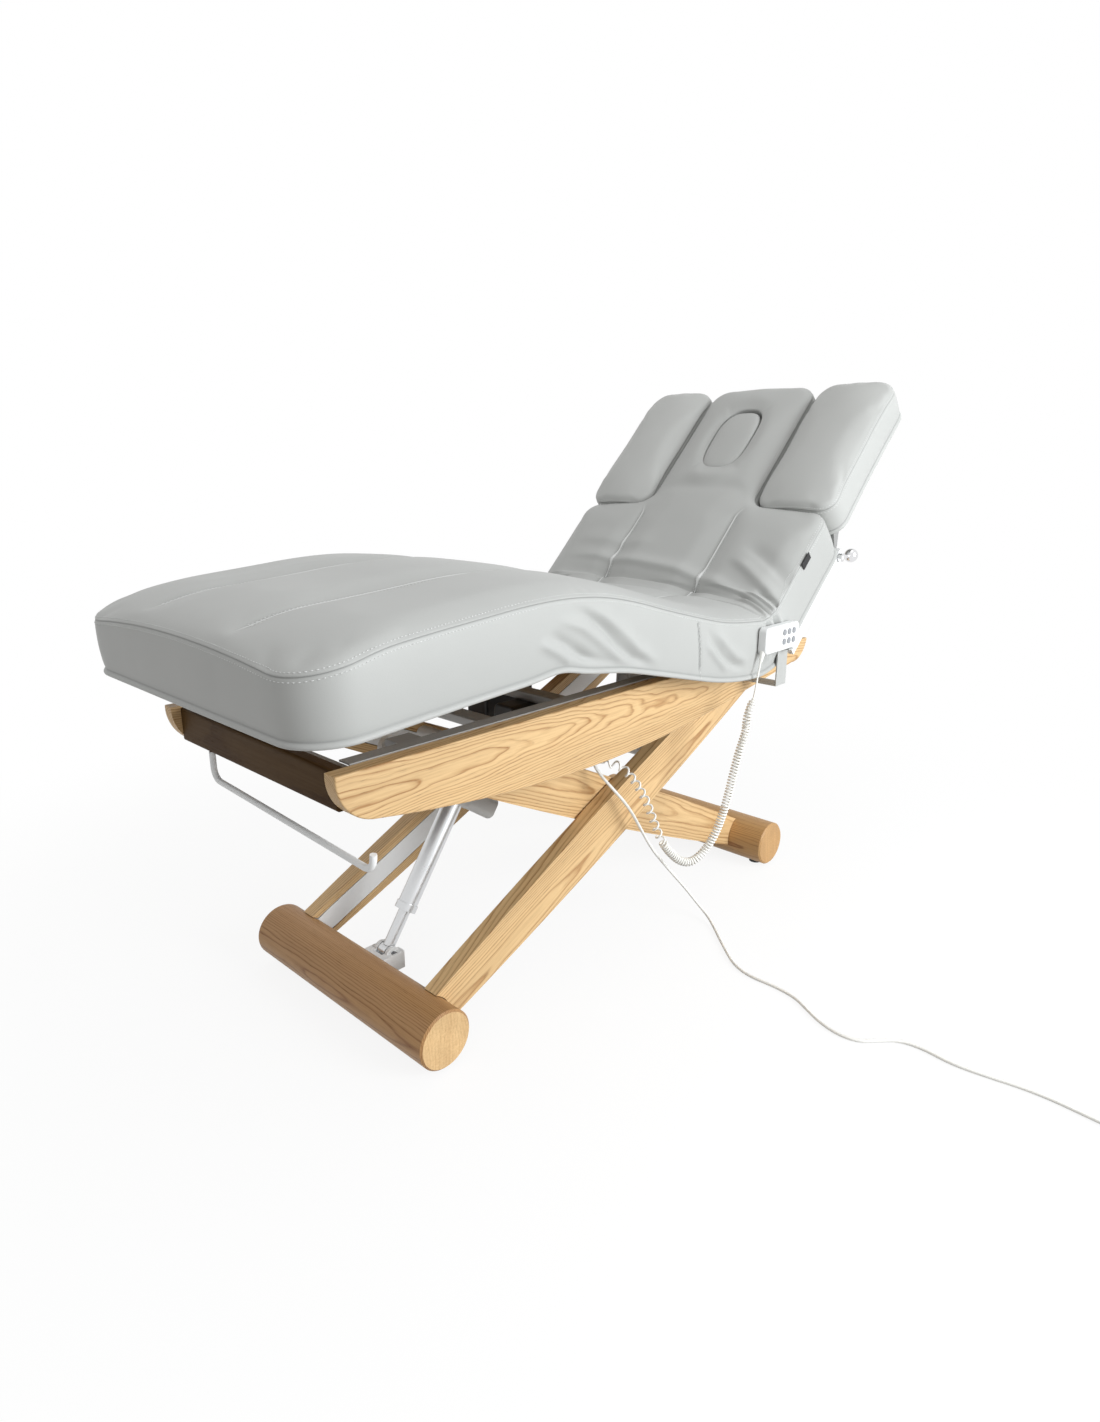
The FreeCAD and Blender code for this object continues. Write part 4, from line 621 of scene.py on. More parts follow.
class SPABED_OT_stage(Operator):
    """Makes the floor, the light and the camera"""
    bl_idname = "spabed.stage"
    bl_label = "Stage"

    def execute(self, context):
        scene = context.scene
        values = scene.spa_stage
        scene.view_settings.view_transform = "Standard"
        yaw, dip = math.radians(CAMERA_YAW), math.radians(CAMERA_DIP)
        ahead = Vector((math.cos(dip) * math.cos(yaw), math.cos(dip) * math.sin(yaw), -math.sin(dip)))
        lens = bpy.data.cameras.new("photo_camera")
        lens.lens = CAMERA_LENS
        lens.sensor_width = 36.0
        lens.clip_end = 100.0
        scene.camera = set_up("photo_camera", lens, CAMERA_AT, ahead)

        shape = bmesh.new()
        bmesh.ops.create_grid(shape, x_segments=2, y_segments=2, size=FLOOR_SIZE)
        floor = new_piece("floor", as_mesh("floor", shape), [self.floor_paint(values)])
        floor.location.z = -FLOOR_DROP

        world = bpy.data.worlds.new("studio")
        scene.world = world
        world.use_nodes = True
        tree = world.node_tree
        tree.nodes.clear()
        seen = self.seen_directly(tree)
        even = put(tree, "ShaderNodeBackground", {"Color": (1, 1, 1, 1), "Strength": values.sky})
        white = put(tree, "ShaderNodeBackground", {"Color": (1, 1, 1, 1), "Strength": 1.0})
        mixed = put(tree, "ShaderNodeMixShader", {0: seen, 1: even.outputs[0], 2: white.outputs[0]})
        out = put(tree, "ShaderNodeOutputWorld")
        tree.links.new(mixed.outputs[0], out.inputs[0])

        for name, at, aim, size, tint in LAMPS:
            lamp = bpy.data.lights.new(name, "AREA")
            lamp.energy = getattr(values, name)
            lamp.color = tint
            lamp.shape = "DISK"
            lamp.size = size
            set_up(name, lamp, at, Vector(aim) - Vector(at))
        return {"FINISHED"}

    def seen_directly(self, tree):
        """One for rays from the camera, straight or by way of a mirror or glass, and nought for the rest."""
        rays = put(tree, "ShaderNodeLightPath").outputs
        some = sums(tree, "MAXIMUM", rays["Is Camera Ray"], rays["Is Glossy Ray"])
        return sums(tree, "MAXIMUM", some, rays["Is Transmission Ray"])

    def floor_paint(self, values):
        """White where the camera looks, with a faint shadow, and grey for the light that it sends back."""
        material = bpy.data.materials.new("Pale Floor")
        material.use_nodes = True
        tree = material.node_tree
        tree.nodes.clear()
        seen = self.seen_directly(tree)
        flat = put(tree, "ShaderNodeBsdfDiffuse", {"Color": blend_colour(
            tree, seen, shaded(values.floor), (0.95, 0.95, 0.95, 1.0))})
        glow = put(tree, "ShaderNodeEmission", {"Color": (1, 1, 1, 1), "Strength": 1.0})
        place = put(tree, "ShaderNodeTexCoord").outputs["Object"]
        away = put(tree, "ShaderNodeVectorMath", {0: place}, operation="LENGTH").outputs["Value"]
        far = put(tree, "ShaderNodeMapRange", {"Value": away, "From Min": 1.0, "From Max": 2.2, "To Min": 0.88,
                                               "To Max": 1.0}, interpolation_type="SMOOTHSTEP").outputs[0]
        share = times(tree, seen, far)
        mixed = put(tree, "ShaderNodeMixShader", {0: share, 1: flat.outputs[0], 2: glow.outputs[0]})
        out = put(tree, "ShaderNodeOutputMaterial")
        tree.links.new(mixed.outputs[0], out.inputs[0])
        return material


# Timber, steel and mouldings

ALONG, ACROSS, LEG_LEAN = (0, 0, 0), (0, 0, -90), 24.73
RISING, FALLING = (0, LEG_LEAN, 0), (0, -LEG_LEAN, 0)
# For each node, what oak() is told after the material's name
OAK_NODES = {
    "rail_left": (ALONG, (-0.10, -0.262, 0.600), 0.040, 0.034),
    "rail_right": (ALONG, (-0.2, 0.256, 0.590), 0.036, 0.034),
    "outer_leg_left": (RISING, (0.2, -0.190, 0.31), 0.016, 0.013),
    "outer_leg_right": (RISING, (0.0, 0.185, 0.34), 0.016, 0.013),
    "inner_leg_left": (FALLING, (0.1, -0.135, 0.30), 0.020, 0.013),
    "inner_leg_right": (FALLING, (0.1, 0.130, 0.33), 0.020, 0.013),
    # The two beams and the end board carry a painted shade: darker oak for the light that misses them near the
    # floor and under the mattress. The front beam's ends stay unshaded.
    "front_foot_beam": (ACROSS, (0.2, -0.760, -0.040), 0.006, 0.012, (0.64, 0.52, 0.42), 0.75, True),
    "rear_foot_beam": (ACROSS, (0.0, 0.430, -0.030), 0.006, 0.012, (0.80, 0.70, 0.58), 0.75),
    "end_board": (ACROSS, (0.0, -0.86, 0.56), 0.014, 0.012, (0.12, 0.094, 0.062), 1.0, False, 0.06),
}


class SPABED_OT_timber(Operator):
    """Gives the oak rails, legs, beams and boards their figure"""
    bl_idname = "spabed.timber"
    bl_label = "Timber"

    def execute(self, context):
        for node, settings in OAK_NODES.items():
            label = node.replace("foot_beam", "beam").replace("_", " ").title()
            dress(oak("Oak " + label, *settings), node)
        eased([node for node in OAK_NODES if "leg" in node], 0.0022)
        ply = oak("Plain Plywood", ALONG, (0.0, 0.0, -1.5), 0.004, 0.05)
        dress(ply, "seat_board", "thigh_board", "calf_board", "back_board")
        return {"FINISHED"}


class SPABED_OT_metalwork(Operator):
    """Gives the steel frames, the drives and the brackets their coats"""
    bl_idname = "spabed.metalwork"
    bl_label = "Metalwork"

    def execute(self, context):
        metal = context.scene.spa_metal
        white = coated("White Powder Coat", metal.white, 0.0018, 0.36)
        grey = coated("Grey Powder Coat", metal.grey, 0.0018, 0.38, 0.35)
        silver = coated("Silver Tube", (0.68, 0.69, 0.70), 0.0010, 0.30, 0.9, 0.05)
        dark = coated("Dark Moulding", metal.dark, 0.0011, 0.46, 0.0, 0.22)
        pale = coated("Pale Moulding", (0.62, 0.62, 0.61), 0.0011, 0.44, 0.0, 0.16)
        rubber = coated("Black Rubber", (0.025, 0.025, 0.026), 0.0012, 0.62, 0.0, 0.25)
        chrome = plated("Polished Chrome", (0.80, 0.80, 0.81), 0.06)
        dress(white, "outer_leg_frame", "inner_leg_frame", "roll_holder", "back_side_bars", "lift_clevis")
        dress(grey, "side_channels", "frame_members", "thigh_arms", "calf_arms", "back_arms",
              "arm_bracket_left", "arm_bracket_right", "back_drive_rod", "leg_drive_rod")
        dress(coated("Matched Grey Coat", context.scene.spa_upholstery.skin, 0.0014, 0.45), "handset_hook")
        dress(silver, "lift_rod", "lift_tube")
        dress(dark, "back_drive", "leg_drive", "control_box")
        dress(pale, "lift_motor", "rear_rollers")
        dress(rubber, "front_glides", "rear_glides")
        dress(chrome, "arm_lever_left", "arm_lever_right")
        self.bolts(plated("Dark Bolt", (0.20, 0.20, 0.21), 0.30))
        return {"FINISHED"}

    def bolts(self, steel):
        """Hexagon heads at both ends of the lift's lower pin."""
        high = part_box("lift_clevis")[1]
        across, corner, thick = math.radians(90), 0.0098, 0.0064
        shape = bmesh.new()
        for side in (-1, 1):
            at = Matrix.Translation((high[0] - 0.022, side * 0.0270, high[2] - 0.017))
            bmesh.ops.create_cone(shape, cap_ends=True, segments=6, radius1=corner, radius2=corner, depth=thick,
                                  matrix=at @ Matrix.Rotation(across, 4, "X"))
        bmesh.ops.bevel(shape, geom=list(shape.edges), offset=0.0008, affect="EDGES", segments=2, profile=0.5,
                        material=-1)
        thing = new_piece("clevis_bolts", as_mesh("clevis_bolts", shape), [steel])
        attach(thing, "front_foot")


class SPABED_OT_handset(Operator):
    """Gives the handset and its buttons their mouldings"""
    bl_idname = "spabed.handset"
    bl_label = "Handset"

    def execute(self, context):
        dress(coated("Handset Moulding", (0.80, 0.81, 0.81), 0.0010, 0.40, 0.0, 0.08), "handset_case")
        keys = coated("Grey Keys", (0.30, 0.31, 0.33), 0.0008, 0.5, 0.0, 0.10)
        for motor in ("back", "legs", "height"):
            dress(keys, "button_%s_up" % motor, "button_%s_down" % motor)
        return {"FINISHED"}


# Upholstery, made flat along a line from the foot end to the head end and then bent to its place

U_FOOT, U_KNEE, U_THIGH, U_BACK, U_BACK_END, U_END = -0.012, 0.546, 1.096, 1.283, 1.661, 2.121
SEAT_MIDDLE_U, SEAT_MIDDLE = 1.1895, (0.2465, 0.640)
# Place, angle and reach of each bend of the base line
BENDS = ((U_KNEE, -17.5, 0.19), (U_THIGH, 14.0, 0.13), (U_BACK, 44.0, 0.095))
FIRST_SLOPE = 3.5
BASE_START, BASE_STEP, BASE_COUNT = -0.08, 0.002, 1150
BACK_TILT, BACK_HINGE = math.radians(44.0), (0.340, 0.640)
GRID_HALF, HEAD_HALF, SKIRT_INNER, CHANNEL_Y = 0.372, 0.165, 0.314, 0.152
OVAL_U, OVAL = U_BACK + 0.620, (0.112, 0.064)
UNDER_START, BOARD_TOP = 0.052, 0.0228


def slope_at(u):
    """Slope of the pad's base line, in radians."""
    slope = FIRST_SLOPE
    for middle, turn, reach in BENDS:
        slope += turn * min(1.0, max(0.0, (u - middle + reach) / (2 * reach)))
    return math.radians(slope)


def on_line(points, u):
    """The place on a line of even steps at a distance along the bed."""
    index = min(max((u - BASE_START) / BASE_STEP, 0.0), len(points) - 1.001)
    low = int(index)
    return [first + (second - first) * (index - low) for first, second in zip(points[low], points[low + 1])]


def base_line():
    """Points of the base line in steps, with the middle of the seat at its place."""
    x, z = 0.0, 0.0
    points = []
    for index in range(BASE_COUNT + 1):
        points.append((x, z))
        slope = slope_at(BASE_START + (index + 0.5) * BASE_STEP)
        x += math.cos(slope) * BASE_STEP
        z += math.sin(slope) * BASE_STEP
    middle = on_line(points, SEAT_MIDDLE_U)
    return [(x - middle[0] + SEAT_MIDDLE[0], z - middle[1] + SEAT_MIDDLE[1]) for x, z in points]


BASE_LINE = base_line()


def bent(point):
    """The place of a flat point (along, across, up) on the bent bed."""
    x, z = on_line(BASE_LINE, point[0])
    slope = slope_at(point[0])
    return Vector((x - math.sin(slope) * point[2], point[1], z + math.cos(slope) * point[2]))


def on_back(point):
    """The place of a point (along, across, up) of the back's own line."""
    ahead, up = math.cos(BACK_TILT), math.sin(BACK_TILT)
    return Vector((BACK_HINGE[0] + ahead * point[0] - up * point[2], point[1],
                   BACK_HINGE[1] + up * point[0] + ahead * point[2]))


def half_width(u):
    """Half of the mattress's width, drawn in a little between its corners."""
    if u < U_KNEE:
        return 0.396 - 0.005 * math.sin(math.pi * u / U_KNEE)
    if u < U_THIGH:
        share = (u - U_KNEE) / (U_THIGH - U_KNEE)
        return 0.396 - 0.008 * share - 0.006 * math.sin(math.pi * share)
    return 0.388 - 0.004 * math.sin(math.pi * min(1.0, (u - U_THIGH) / (U_BACK_END - U_THIGH)))


def hump(value, middle, reach):
    """A smooth rise to 1 at the middle that has gone beyond about two reaches."""
    return math.exp(-((value - middle) / reach) ** 2)


def steps_between(start, finish, wanted):
    """Even places from the start to just before the finish, near the wanted step."""
    count = max(1, round((finish - start) / wanted))
    return [start + (finish - start) * index / count for index in range(count)]


def fullness(angle):
    """How far an oval with full corners reaches at an angle, against a plain ellipse."""
    return (abs(math.cos(angle)) ** 3 + abs(math.sin(angle)) ** 3) ** (-1 / 3)


def rounded(u, wide, corner, radius, toward):
    """A grid point moved so that the square corner of the grid becomes a quarter circle."""
    middle_u, middle_y = corner[0] - toward * radius, corner[1] - radius
    a, b = (u - middle_u) * toward / radius, (wide - middle_y) / radius
    if 0 < a <= 1.0001 and 0 < b <= 1.0001:
        a, b = min(a, 1.0), min(b, 1.0)
        u = middle_u + toward * a * math.sqrt(1 - b * b / 2) * radius
        wide = middle_y + b * math.sqrt(1 - a * a / 2) * radius
    return u, wide


class Pad:
    """A sewn pad: top panel, rounded shoulders, seams, sides, welt and underside, and the points seams hold."""

    def __init__(self, cover, edge):
        self.cover = cover
        self.edge = edge
        self.shape = bmesh.new()
        # Seam mark of each point: above zero is painted shade, below zero the pale colour of the thread.
        self.seam = self.shape.verts.layers.float.new("seam")
        self.pins = {}
        self.build()

    def grid(self, along, across):
        """A flat grid with lines at the given places."""
        lines, columns = len(along), len(across)
        bmesh.ops.create_grid(self.shape, x_segments=lines - 1, y_segments=columns - 1, size=1.0)
        for vertex in self.shape.verts:
            row = round((vertex.co.x + 1) / 2 * (lines - 1))
            column = round((vertex.co.y + 1) / 2 * (columns - 1))
            vertex.co = Vector((along[row], across[column], 0.0))

    def outward(self, rim):
        """Outward direction in the flat at each point of the outline."""
        found = {}
        for edge in rim:
            face = edge.link_faces[0]
            away = edge.verts[1].co - edge.verts[0].co
            normal = Vector((away.y, -away.x, 0.0)).normalized()
            middle = (edge.verts[0].co + edge.verts[1].co) / 2
            if normal.dot(middle - face.calc_center_median()) < 0:
                normal = -normal
            for vertex in edge.verts:
                found[vertex] = found.get(vertex, Vector()) + normal
        for vertex, normal in found.items():
            length = normal.length
            found[vertex] = normal / length * min(1.15, 2.0 / length)
        return found

    def next_ring(self, edges, chain):
        """A new ring of points joined to the last one, for each point of the outline."""
        new = bmesh.ops.extrude_edge_only(self.shape, edges=edges)["geom"]
        made = [item for item in new if isinstance(item, bmesh.types.BMVert)]
        known = set(made)
        edges = [item for item in new if isinstance(item, bmesh.types.BMEdge)
                 and item.verts[0] in known and item.verts[1] in known]
        finder = {tuple(round(c, 7) for c in vertex.co): vertex for vertex in made}
        return edges, {source: finder[tuple(round(c, 7) for c in held.co)] for source, held in chain.items()}

    def walls(self, rim, outward, below, bulges, welt):
        """Rolls the outline down to the edge seam, then over the side and the welt, and in to the underside."""
        edge, drop = self.edge, self.cover.drop
        chain = {vertex: vertex for vertex in outward}
        first = {vertex: vertex.co.copy() for vertex in outward}
        self.seam_line = [[(first[vertex], outward[vertex].copy()) for vertex in line.verts] for line in rim]
        seam, steepest = drop + 0.0032, math.radians(58)
        rings = []
        for share in (0.36, 0.68, 0.90):
            turn = steepest * share
            rings.append(("drop", edge * math.sin(turn) / math.sin(steepest),
                          drop * (1 - math.cos(turn)) / (1 - math.cos(steepest)), 0.0, 0.0))
        # The last item of each ring is its seam mark: painted shade in the edge seam's groove.
        rings += [("drop", edge - 0.0003, drop - 0.0004, 0.8, 0.0),
                  ("drop", edge - 0.0030, drop + 0.0012, 1.0, 1.0),
                  ("drop", edge + 0.0004, seam, 0.9, 0.0)]
        for index, bulge in enumerate(bulges, start=1):
            rings.append(("share", edge + bulge, index / (len(bulges) + 1), 0.0, 0.0))
        # The welt's second ring is marked too: painted shade in the welt's groove.
        for index, (offset, height) in enumerate(welt):
            rings.append(("base", edge + offset, height, 1.0, 0.8 if index == 1 else 0.0))
        edges = list(rim)
        for kind, offset, value, pin, shade_and_cord_mark in rings:
            edges, chain = self.next_ring(edges, chain)
            for source, vertex in chain.items():
                at = first[source]
                base = self.base_height(at.x)
                height = base + value
                if kind == "drop":
                    height = at.z - value
                elif kind == "share":
                    height = at.z - seam + (base + welt[0][1] - at.z + seam) * value
                vertex.co = Vector((at.x, at.y, 0)) + outward[source] * offset + Vector((0, 0, height))
                vertex[self.seam] = shade_and_cord_mark
                if pin:
                    self.pins[vertex] = pin
        for last in (False, True):
            edges, chain = self.next_ring(edges, chain)
            for source, vertex in chain.items():
                floor = below[source].co
                vertex.co = Vector((floor.x, floor.y, floor.z if last else self.base_height(floor.x)))
                self.pins[vertex] = 1.0

    def stitch_seam(self, tree, made):
        """Lays two stitches for each stretch of the outline, above the edge seam and below it."""
        for (start, out_start), (finish, out_finish) in self.seam_line:
            for low, high in ((0.03, 0.47), (0.53, 0.97)):
                for depth in (0.68 * self.cover.drop, self.cover.drop + 0.0075):
                    rays = []
                    for share in (low, high):
                        out = out_start.lerp(out_finish, share).normalized()
                        rays.append((start.lerp(finish, share) + out * 0.12 - Vector((0, 0, depth)), -out))
                    stitch_row(tree, rays, made, self.cover.needle, 0.5 * (finish - start).length)

    def underside(self, outward, moved):
        """A copy of the top grid as the underside, each point moved by the given rule."""
        copy = bmesh.ops.duplicate(self.shape, geom=list(self.shape.verts) + list(self.shape.edges)
                                   + list(self.shape.faces))
        below = {first: second for first, second in copy["vert_map"].items() if first in outward}
        faces = [item for item in copy["geom"] if isinstance(item, bmesh.types.BMFace)]
        for vertex in {corner for face in faces for corner in face.verts}:
            vertex.co = moved(vertex.co)
            self.pins[vertex] = 1.0
        bmesh.ops.reverse_faces(self.shape, faces=faces)
        return below, set(faces)

    def close(self):
        """Joins the points that the walls and the underside share."""
        bmesh.ops.remove_doubles(self.shape, verts=self.shape.verts, dist=0.00005)
        bmesh.ops.recalc_face_normals(self.shape, faces=self.shape.faces)


class Mattress(Pad):
    """The one-piece mattress, still flat."""

    def top_height(self, u, y):
        """Height of the top panel at a flat place."""
        side = (y / half_width(u)) ** 2
        foot = max(0.0, 1 - u / 0.34) ** 2
        body = 0.141 - (self.cover.crown + 0.003 + 0.014 * foot) * side
        head = 0.137 - 0.010 * (y / 0.20) ** 2
        height = body + (head - body) * smooth(U_BACK_END - 0.06, U_BACK_END + 0.05, u)
        height -= 0.030 * max(0.0, 1 - (u - U_FOOT) / 0.17) ** 2
        height -= 0.003 * smooth(U_END - 0.08, U_END, u)
        height += 0.009 * hump(u, U_KNEE, 0.16)
        height += 0.015 * hump(u, 1.13, 0.11) * (1 - 0.85 * side)
        ring = math.hypot((u - OVAL_U) / OVAL[0], y / OVAL[1]) - 1
        height += 0.006 * hump(ring, 0.42, 0.24)
        neck = hump(u, U_BACK_END + 0.055, 0.020) * (1 - smooth(0.10, 0.15, abs(y)))
        return height - 0.006 * neck

    def base_height(self, u):
        """Height of the lower edge along the bed."""
        back = smooth(U_BACK - 0.02, U_BACK + 0.04, u)
        head = smooth(U_BACK_END - 0.012, U_BACK_END + 0.004, u)
        return -0.020 + 0.010 * hump(u, 0.49, 0.055) + 0.008 * back + 0.0345 * head

    def columns(self):
        """Widths of the grid lines, as places across, finer at the seams and at the head's sides."""
        inner = HEAD_HALF - self.edge
        outer = CHANNEL_Y + 0.0110
        right = steps_between(0.0, inner, 0.0135)
        right += [inner, CHANNEL_Y - 0.0035, CHANNEL_Y, CHANNEL_Y + 0.0035]
        right += steps_between(outer, GRID_HALF, 0.0145) + [GRID_HALF]
        return [-value for value in reversed(right[1:])] + right, inner

    def rows(self):
        """Places of the grid lines along, finer at the hinges."""
        start, finish = U_FOOT + self.edge, U_END - self.edge
        back_end = U_BACK_END - self.edge
        places, low = [], start
        for high, step in ((0.43, 0.0138), (0.80, 0.0090), (0.92, 0.0120), (1.14, 0.0090), (1.20, 0.0120),
                           (1.50, 0.0088), (back_end, 0.0130), (finish, 0.0132)):
            places += steps_between(low, high, step)
            low = high
        return places + [finish], back_end

    def build(self):
        shape = self.shape
        across, inner = self.columns()
        along, back_end = self.rows()
        self.grid(along, across)
        notch = [face for face in shape.faces
                 if face.calc_center_median().x > back_end and abs(face.calc_center_median().y) > inner]
        bmesh.ops.delete(shape, geom=notch, context="FACES")
        for vertex in shape.verts:
            self.fit_outline(vertex, inner, back_end)
        rim = [edge for edge in shape.edges if edge.is_boundary]
        outward = self.outward(rim)
        stretch = (U_END - UNDER_START) / (U_END - U_FOOT - self.edge)
        narrow = SKIRT_INNER / GRID_HALF

        def moved(place):
            u = U_END - (U_END - place.x) * stretch
            return Vector((u, place.y * narrow, max(BOARD_TOP, self.base_height(u) + 0.0004)))

        below, skip = self.underside(outward, moved)
        for vertex in shape.verts:
            if vertex not in self.pins:
                vertex.co.z = self.top_height(vertex.co.x, vertex.co.y)
        self.cut_oval(skip)
        self.sew_channels()
        bulges = (0.0010, 0.0016, 0.0021, 0.0024, 0.0026, 0.0026, 0.0024, 0.0020, 0.0015, 0.0008)
        self.walls(rim, outward, below, bulges, (
            (-0.0004, 0.0150), (-0.0030, 0.0108), (0.0022, 0.0080), (0.0038, 0.0036), (0.0018, -0.0008),
            (-0.0060, 0.0), (-0.0300, 0.0)))
        self.close()

    def fit_outline(self, vertex, inner, back_end):
        """Moves a grid point so that the grid's outline becomes the pad's, less the rounded shoulder."""
        u, y = vertex.co.x, vertex.co.y
        side = 1 if y >= 0 else -1
        wide = abs(y)
        u, wide = rounded(u, wide, (U_FOOT + self.edge, GRID_HALF), 0.066, -1)
        if u <= back_end + 1e-6:
            u, wide = rounded(u, wide, (back_end, GRID_HALF), 0.020, 1)
        if u >= back_end:
            u, wide = rounded(u, wide, (U_END - self.edge, inner), 0.030, 1)
        radius = 0.070
        fillet = (back_end + radius, inner + radius)
        angle = None
        if abs(u - back_end) < 1e-6 and inner - 1e-6 <= wide < fillet[1]:
            angle = math.radians(45) * (fillet[1] - wide) / radius
        elif abs(wide - inner) < 1e-6 and back_end < u < fillet[0]:
            angle = math.radians(90) - math.radians(45) * (fillet[0] - u) / radius
        share = wide / GRID_HALF
        if angle is not None:
            u, wide = fillet[0] - math.cos(angle) * radius, fillet[1] - math.sin(angle) * radius
        elif u < back_end and share > 0.55:
            fitted = share * (half_width(u) - self.edge)
            wide = fitted + (abs(y) - fitted) * (1 - smooth(0.55, 0.95, share))
        vertex.co = Vector((u, side * wide, 0.0))

    def cut_oval(self, skip):
        """Opens the face hole and rolls its rim inwards."""
        shape = self.shape

        def near(place, reach_u, reach_y):
            return abs(place.x - OVAL_U) < OVAL[0] + reach_u and abs(place.y) < OVAL[1] + reach_y

        block = [face for face in shape.faces
                 if face not in skip and near(face.calc_center_median(), 0.012, 0.010)]
        bmesh.ops.delete(shape, geom=block, context="FACES")
        edges = [edge for edge in shape.edges if edge.is_boundary and not skip.intersection(edge.link_faces)
                 and all(near(vertex.co, 0.03, 0.03) for vertex in edge.verts)]
        level = sum(edge.verts[0].co.z for edge in edges) / len(edges)
        rings = ((0.0045, 0.0), (0.0016, -0.0012), (0.0003, -0.0045), (0.0, -0.012), (0.0006, -0.05),
                 (0.0010, -0.1115))
        for grow, drop in rings:
            new = bmesh.ops.extrude_edge_only(shape, edges=edges)["geom"]
            edges = [item for item in new if isinstance(item, bmesh.types.BMEdge)]
            for vertex in (item for item in new if isinstance(item, bmesh.types.BMVert)):
                angle = math.atan2(vertex.co.y / OVAL[1], (vertex.co.x - OVAL_U) / OVAL[0])
                full = fullness(angle)
                vertex.co = Vector((OVAL_U + (OVAL[0] + grow) * full * math.cos(angle),
                                    (OVAL[1] + grow) * full * math.sin(angle), level + drop))
                if drop < -0.001:
                    self.pins[vertex] = 1.0

    def sew_channels(self):
        """Draws the top panel down along its two lengthwise seams, marking a pale cord in the middle of each
        and painted shade on either side.
        """
        depth, finish = self.cover.channel, U_BACK_END - 0.030
        for vertex in self.shape.verts:
            if vertex in self.pins:
                continue
            away = abs(abs(vertex.co.y) - CHANNEL_Y)
            run = smooth(0.022, 0.060, vertex.co.x) * (1 - smooth(finish - 0.025, finish, vertex.co.x))
            if away < 0.0045 and run > 0:
                cord = away < 0.0012
                vertex.co.z -= depth * (0.10 if cord else 1.0) * run
                # Pale thread colour on the cord, painted shade in the groove beside it.
                vertex[self.seam] = -run if cord else 0.55 * run
                self.pins[vertex] = 1.0


class ArmPad(Pad):
    """One arm pad in the back's own line, middle across at zero."""

    START, END, HALF, BASE = 0.386, 0.846, 0.110, 0.0214

    def base_height(self, along):
        """Height of the lower edge, the same all along."""
        return self.BASE

    def build(self):
        shape, edge = self.shape, self.edge
        half = self.HALF - edge
        start, finish = self.START + edge, self.END - edge
        along = steps_between(start, finish, 0.0135) + [finish]
        across = [-half] + steps_between(-half, half, 0.0135)[1:] + [half]
        self.grid(along, across)
        for vertex in shape.verts:
            u, wide = vertex.co.x, abs(vertex.co.y)
            for corner, radius, toward in ((start, 0.030, -1), (finish, 0.036, 1)):
                u, wide = rounded(u, wide, (corner, half), radius, toward)
            waist = 0.003 * math.sin(math.pi * (u - start) / (finish - start)) * wide / half
            vertex.co = Vector((u, math.copysign(max(0.0, wide - waist), vertex.co.y), 0.0))
        rim = [line for line in shape.edges if line.is_boundary]
        outward = self.outward(rim)
        middle = (self.START + self.END) / 2

        def moved(place):
            return Vector((middle + (place.x - middle) * 0.93, place.y * 0.86, self.BASE + 0.0002))

        below = self.underside(outward, moved)[0]
        for vertex in shape.verts:
            if vertex not in self.pins:
                ends = smooth(0.0, 0.07, vertex.co.x - start) * smooth(0.0, 0.08, finish - vertex.co.x)
                vertex.co.z = 0.1390 - 0.009 * (vertex.co.y / half) ** 2 - 0.008 * (1 - ends)
        self.walls(rim, outward, below, (0.0012, 0.0020, 0.0020, 0.0012), (
            (0.0, 0.018), (-0.0026, 0.0130), (0.0016, 0.010), (0.0028, 0.0060), (0.0010, 0.001),
            (-0.0070, 0.0)))
        self.close()


CLOTH_FRAMES, CLOTH_PRESSURE = 20, 4.0


def filled_out(name, shape, pins, limit):
    """Lets the filling push a cover out with the cloth solver, held at its seams, no further than a limit."""
    mesh = bpy.data.meshes.new(name)
    shape.verts.index_update()
    held = {vertex.index: weight for vertex, weight in pins.items() if vertex.is_valid}
    shape.to_mesh(mesh)
    thing = bpy.data.objects.new(name, mesh)
    scene = bpy.context.scene
    scene.collection.objects.link(thing)
    group = thing.vertex_groups.new(name="held")
    for index, weight in held.items():
        group.add([index], weight, "REPLACE")
    cloth = thing.modifiers.new("Cloth", "CLOTH")
    settings = cloth.settings
    settings.vertex_group_mass = "held"
    settings.pin_stiffness = 4.0
    settings.use_pressure = True
    settings.uniform_pressure_force = CLOTH_PRESSURE
    settings.tension_stiffness = settings.compression_stiffness = 18.0
    settings.shear_stiffness = 8.0
    settings.bending_stiffness = 1.2
    settings.effector_weights.gravity = 0.0
    settings.quality = 5
    cloth.collision_settings.use_collision = False
    cloth.point_cache.frame_start = 1
    cloth.point_cache.frame_end = CLOTH_FRAMES
    for step in range(1, CLOTH_FRAMES + 1):
        scene.frame_set(step)
    result = evaluated(thing)
    for vertex, before in zip(result.vertices, mesh.vertices):
        move = vertex.co - before.co
        if move.length > limit:
            vertex.co = before.co + move * (limit / move.length)
    bpy.data.objects.remove(thing)
    scene.frame_set(1)
    return result


def finer(mesh):
    """The mesh after one round of subdivision."""
    thing = new_piece("finer", mesh, [])
    modifier = thing.modifiers.new("Subdivision", "SUBSURF")
    modifier.levels = modifier.render_levels = 1
    result = evaluated(thing)
    bpy.data.objects.remove(thing)
    return result


# Soft folds of the cover as lines of places, with a width and a height: (along, across) and (along, up)

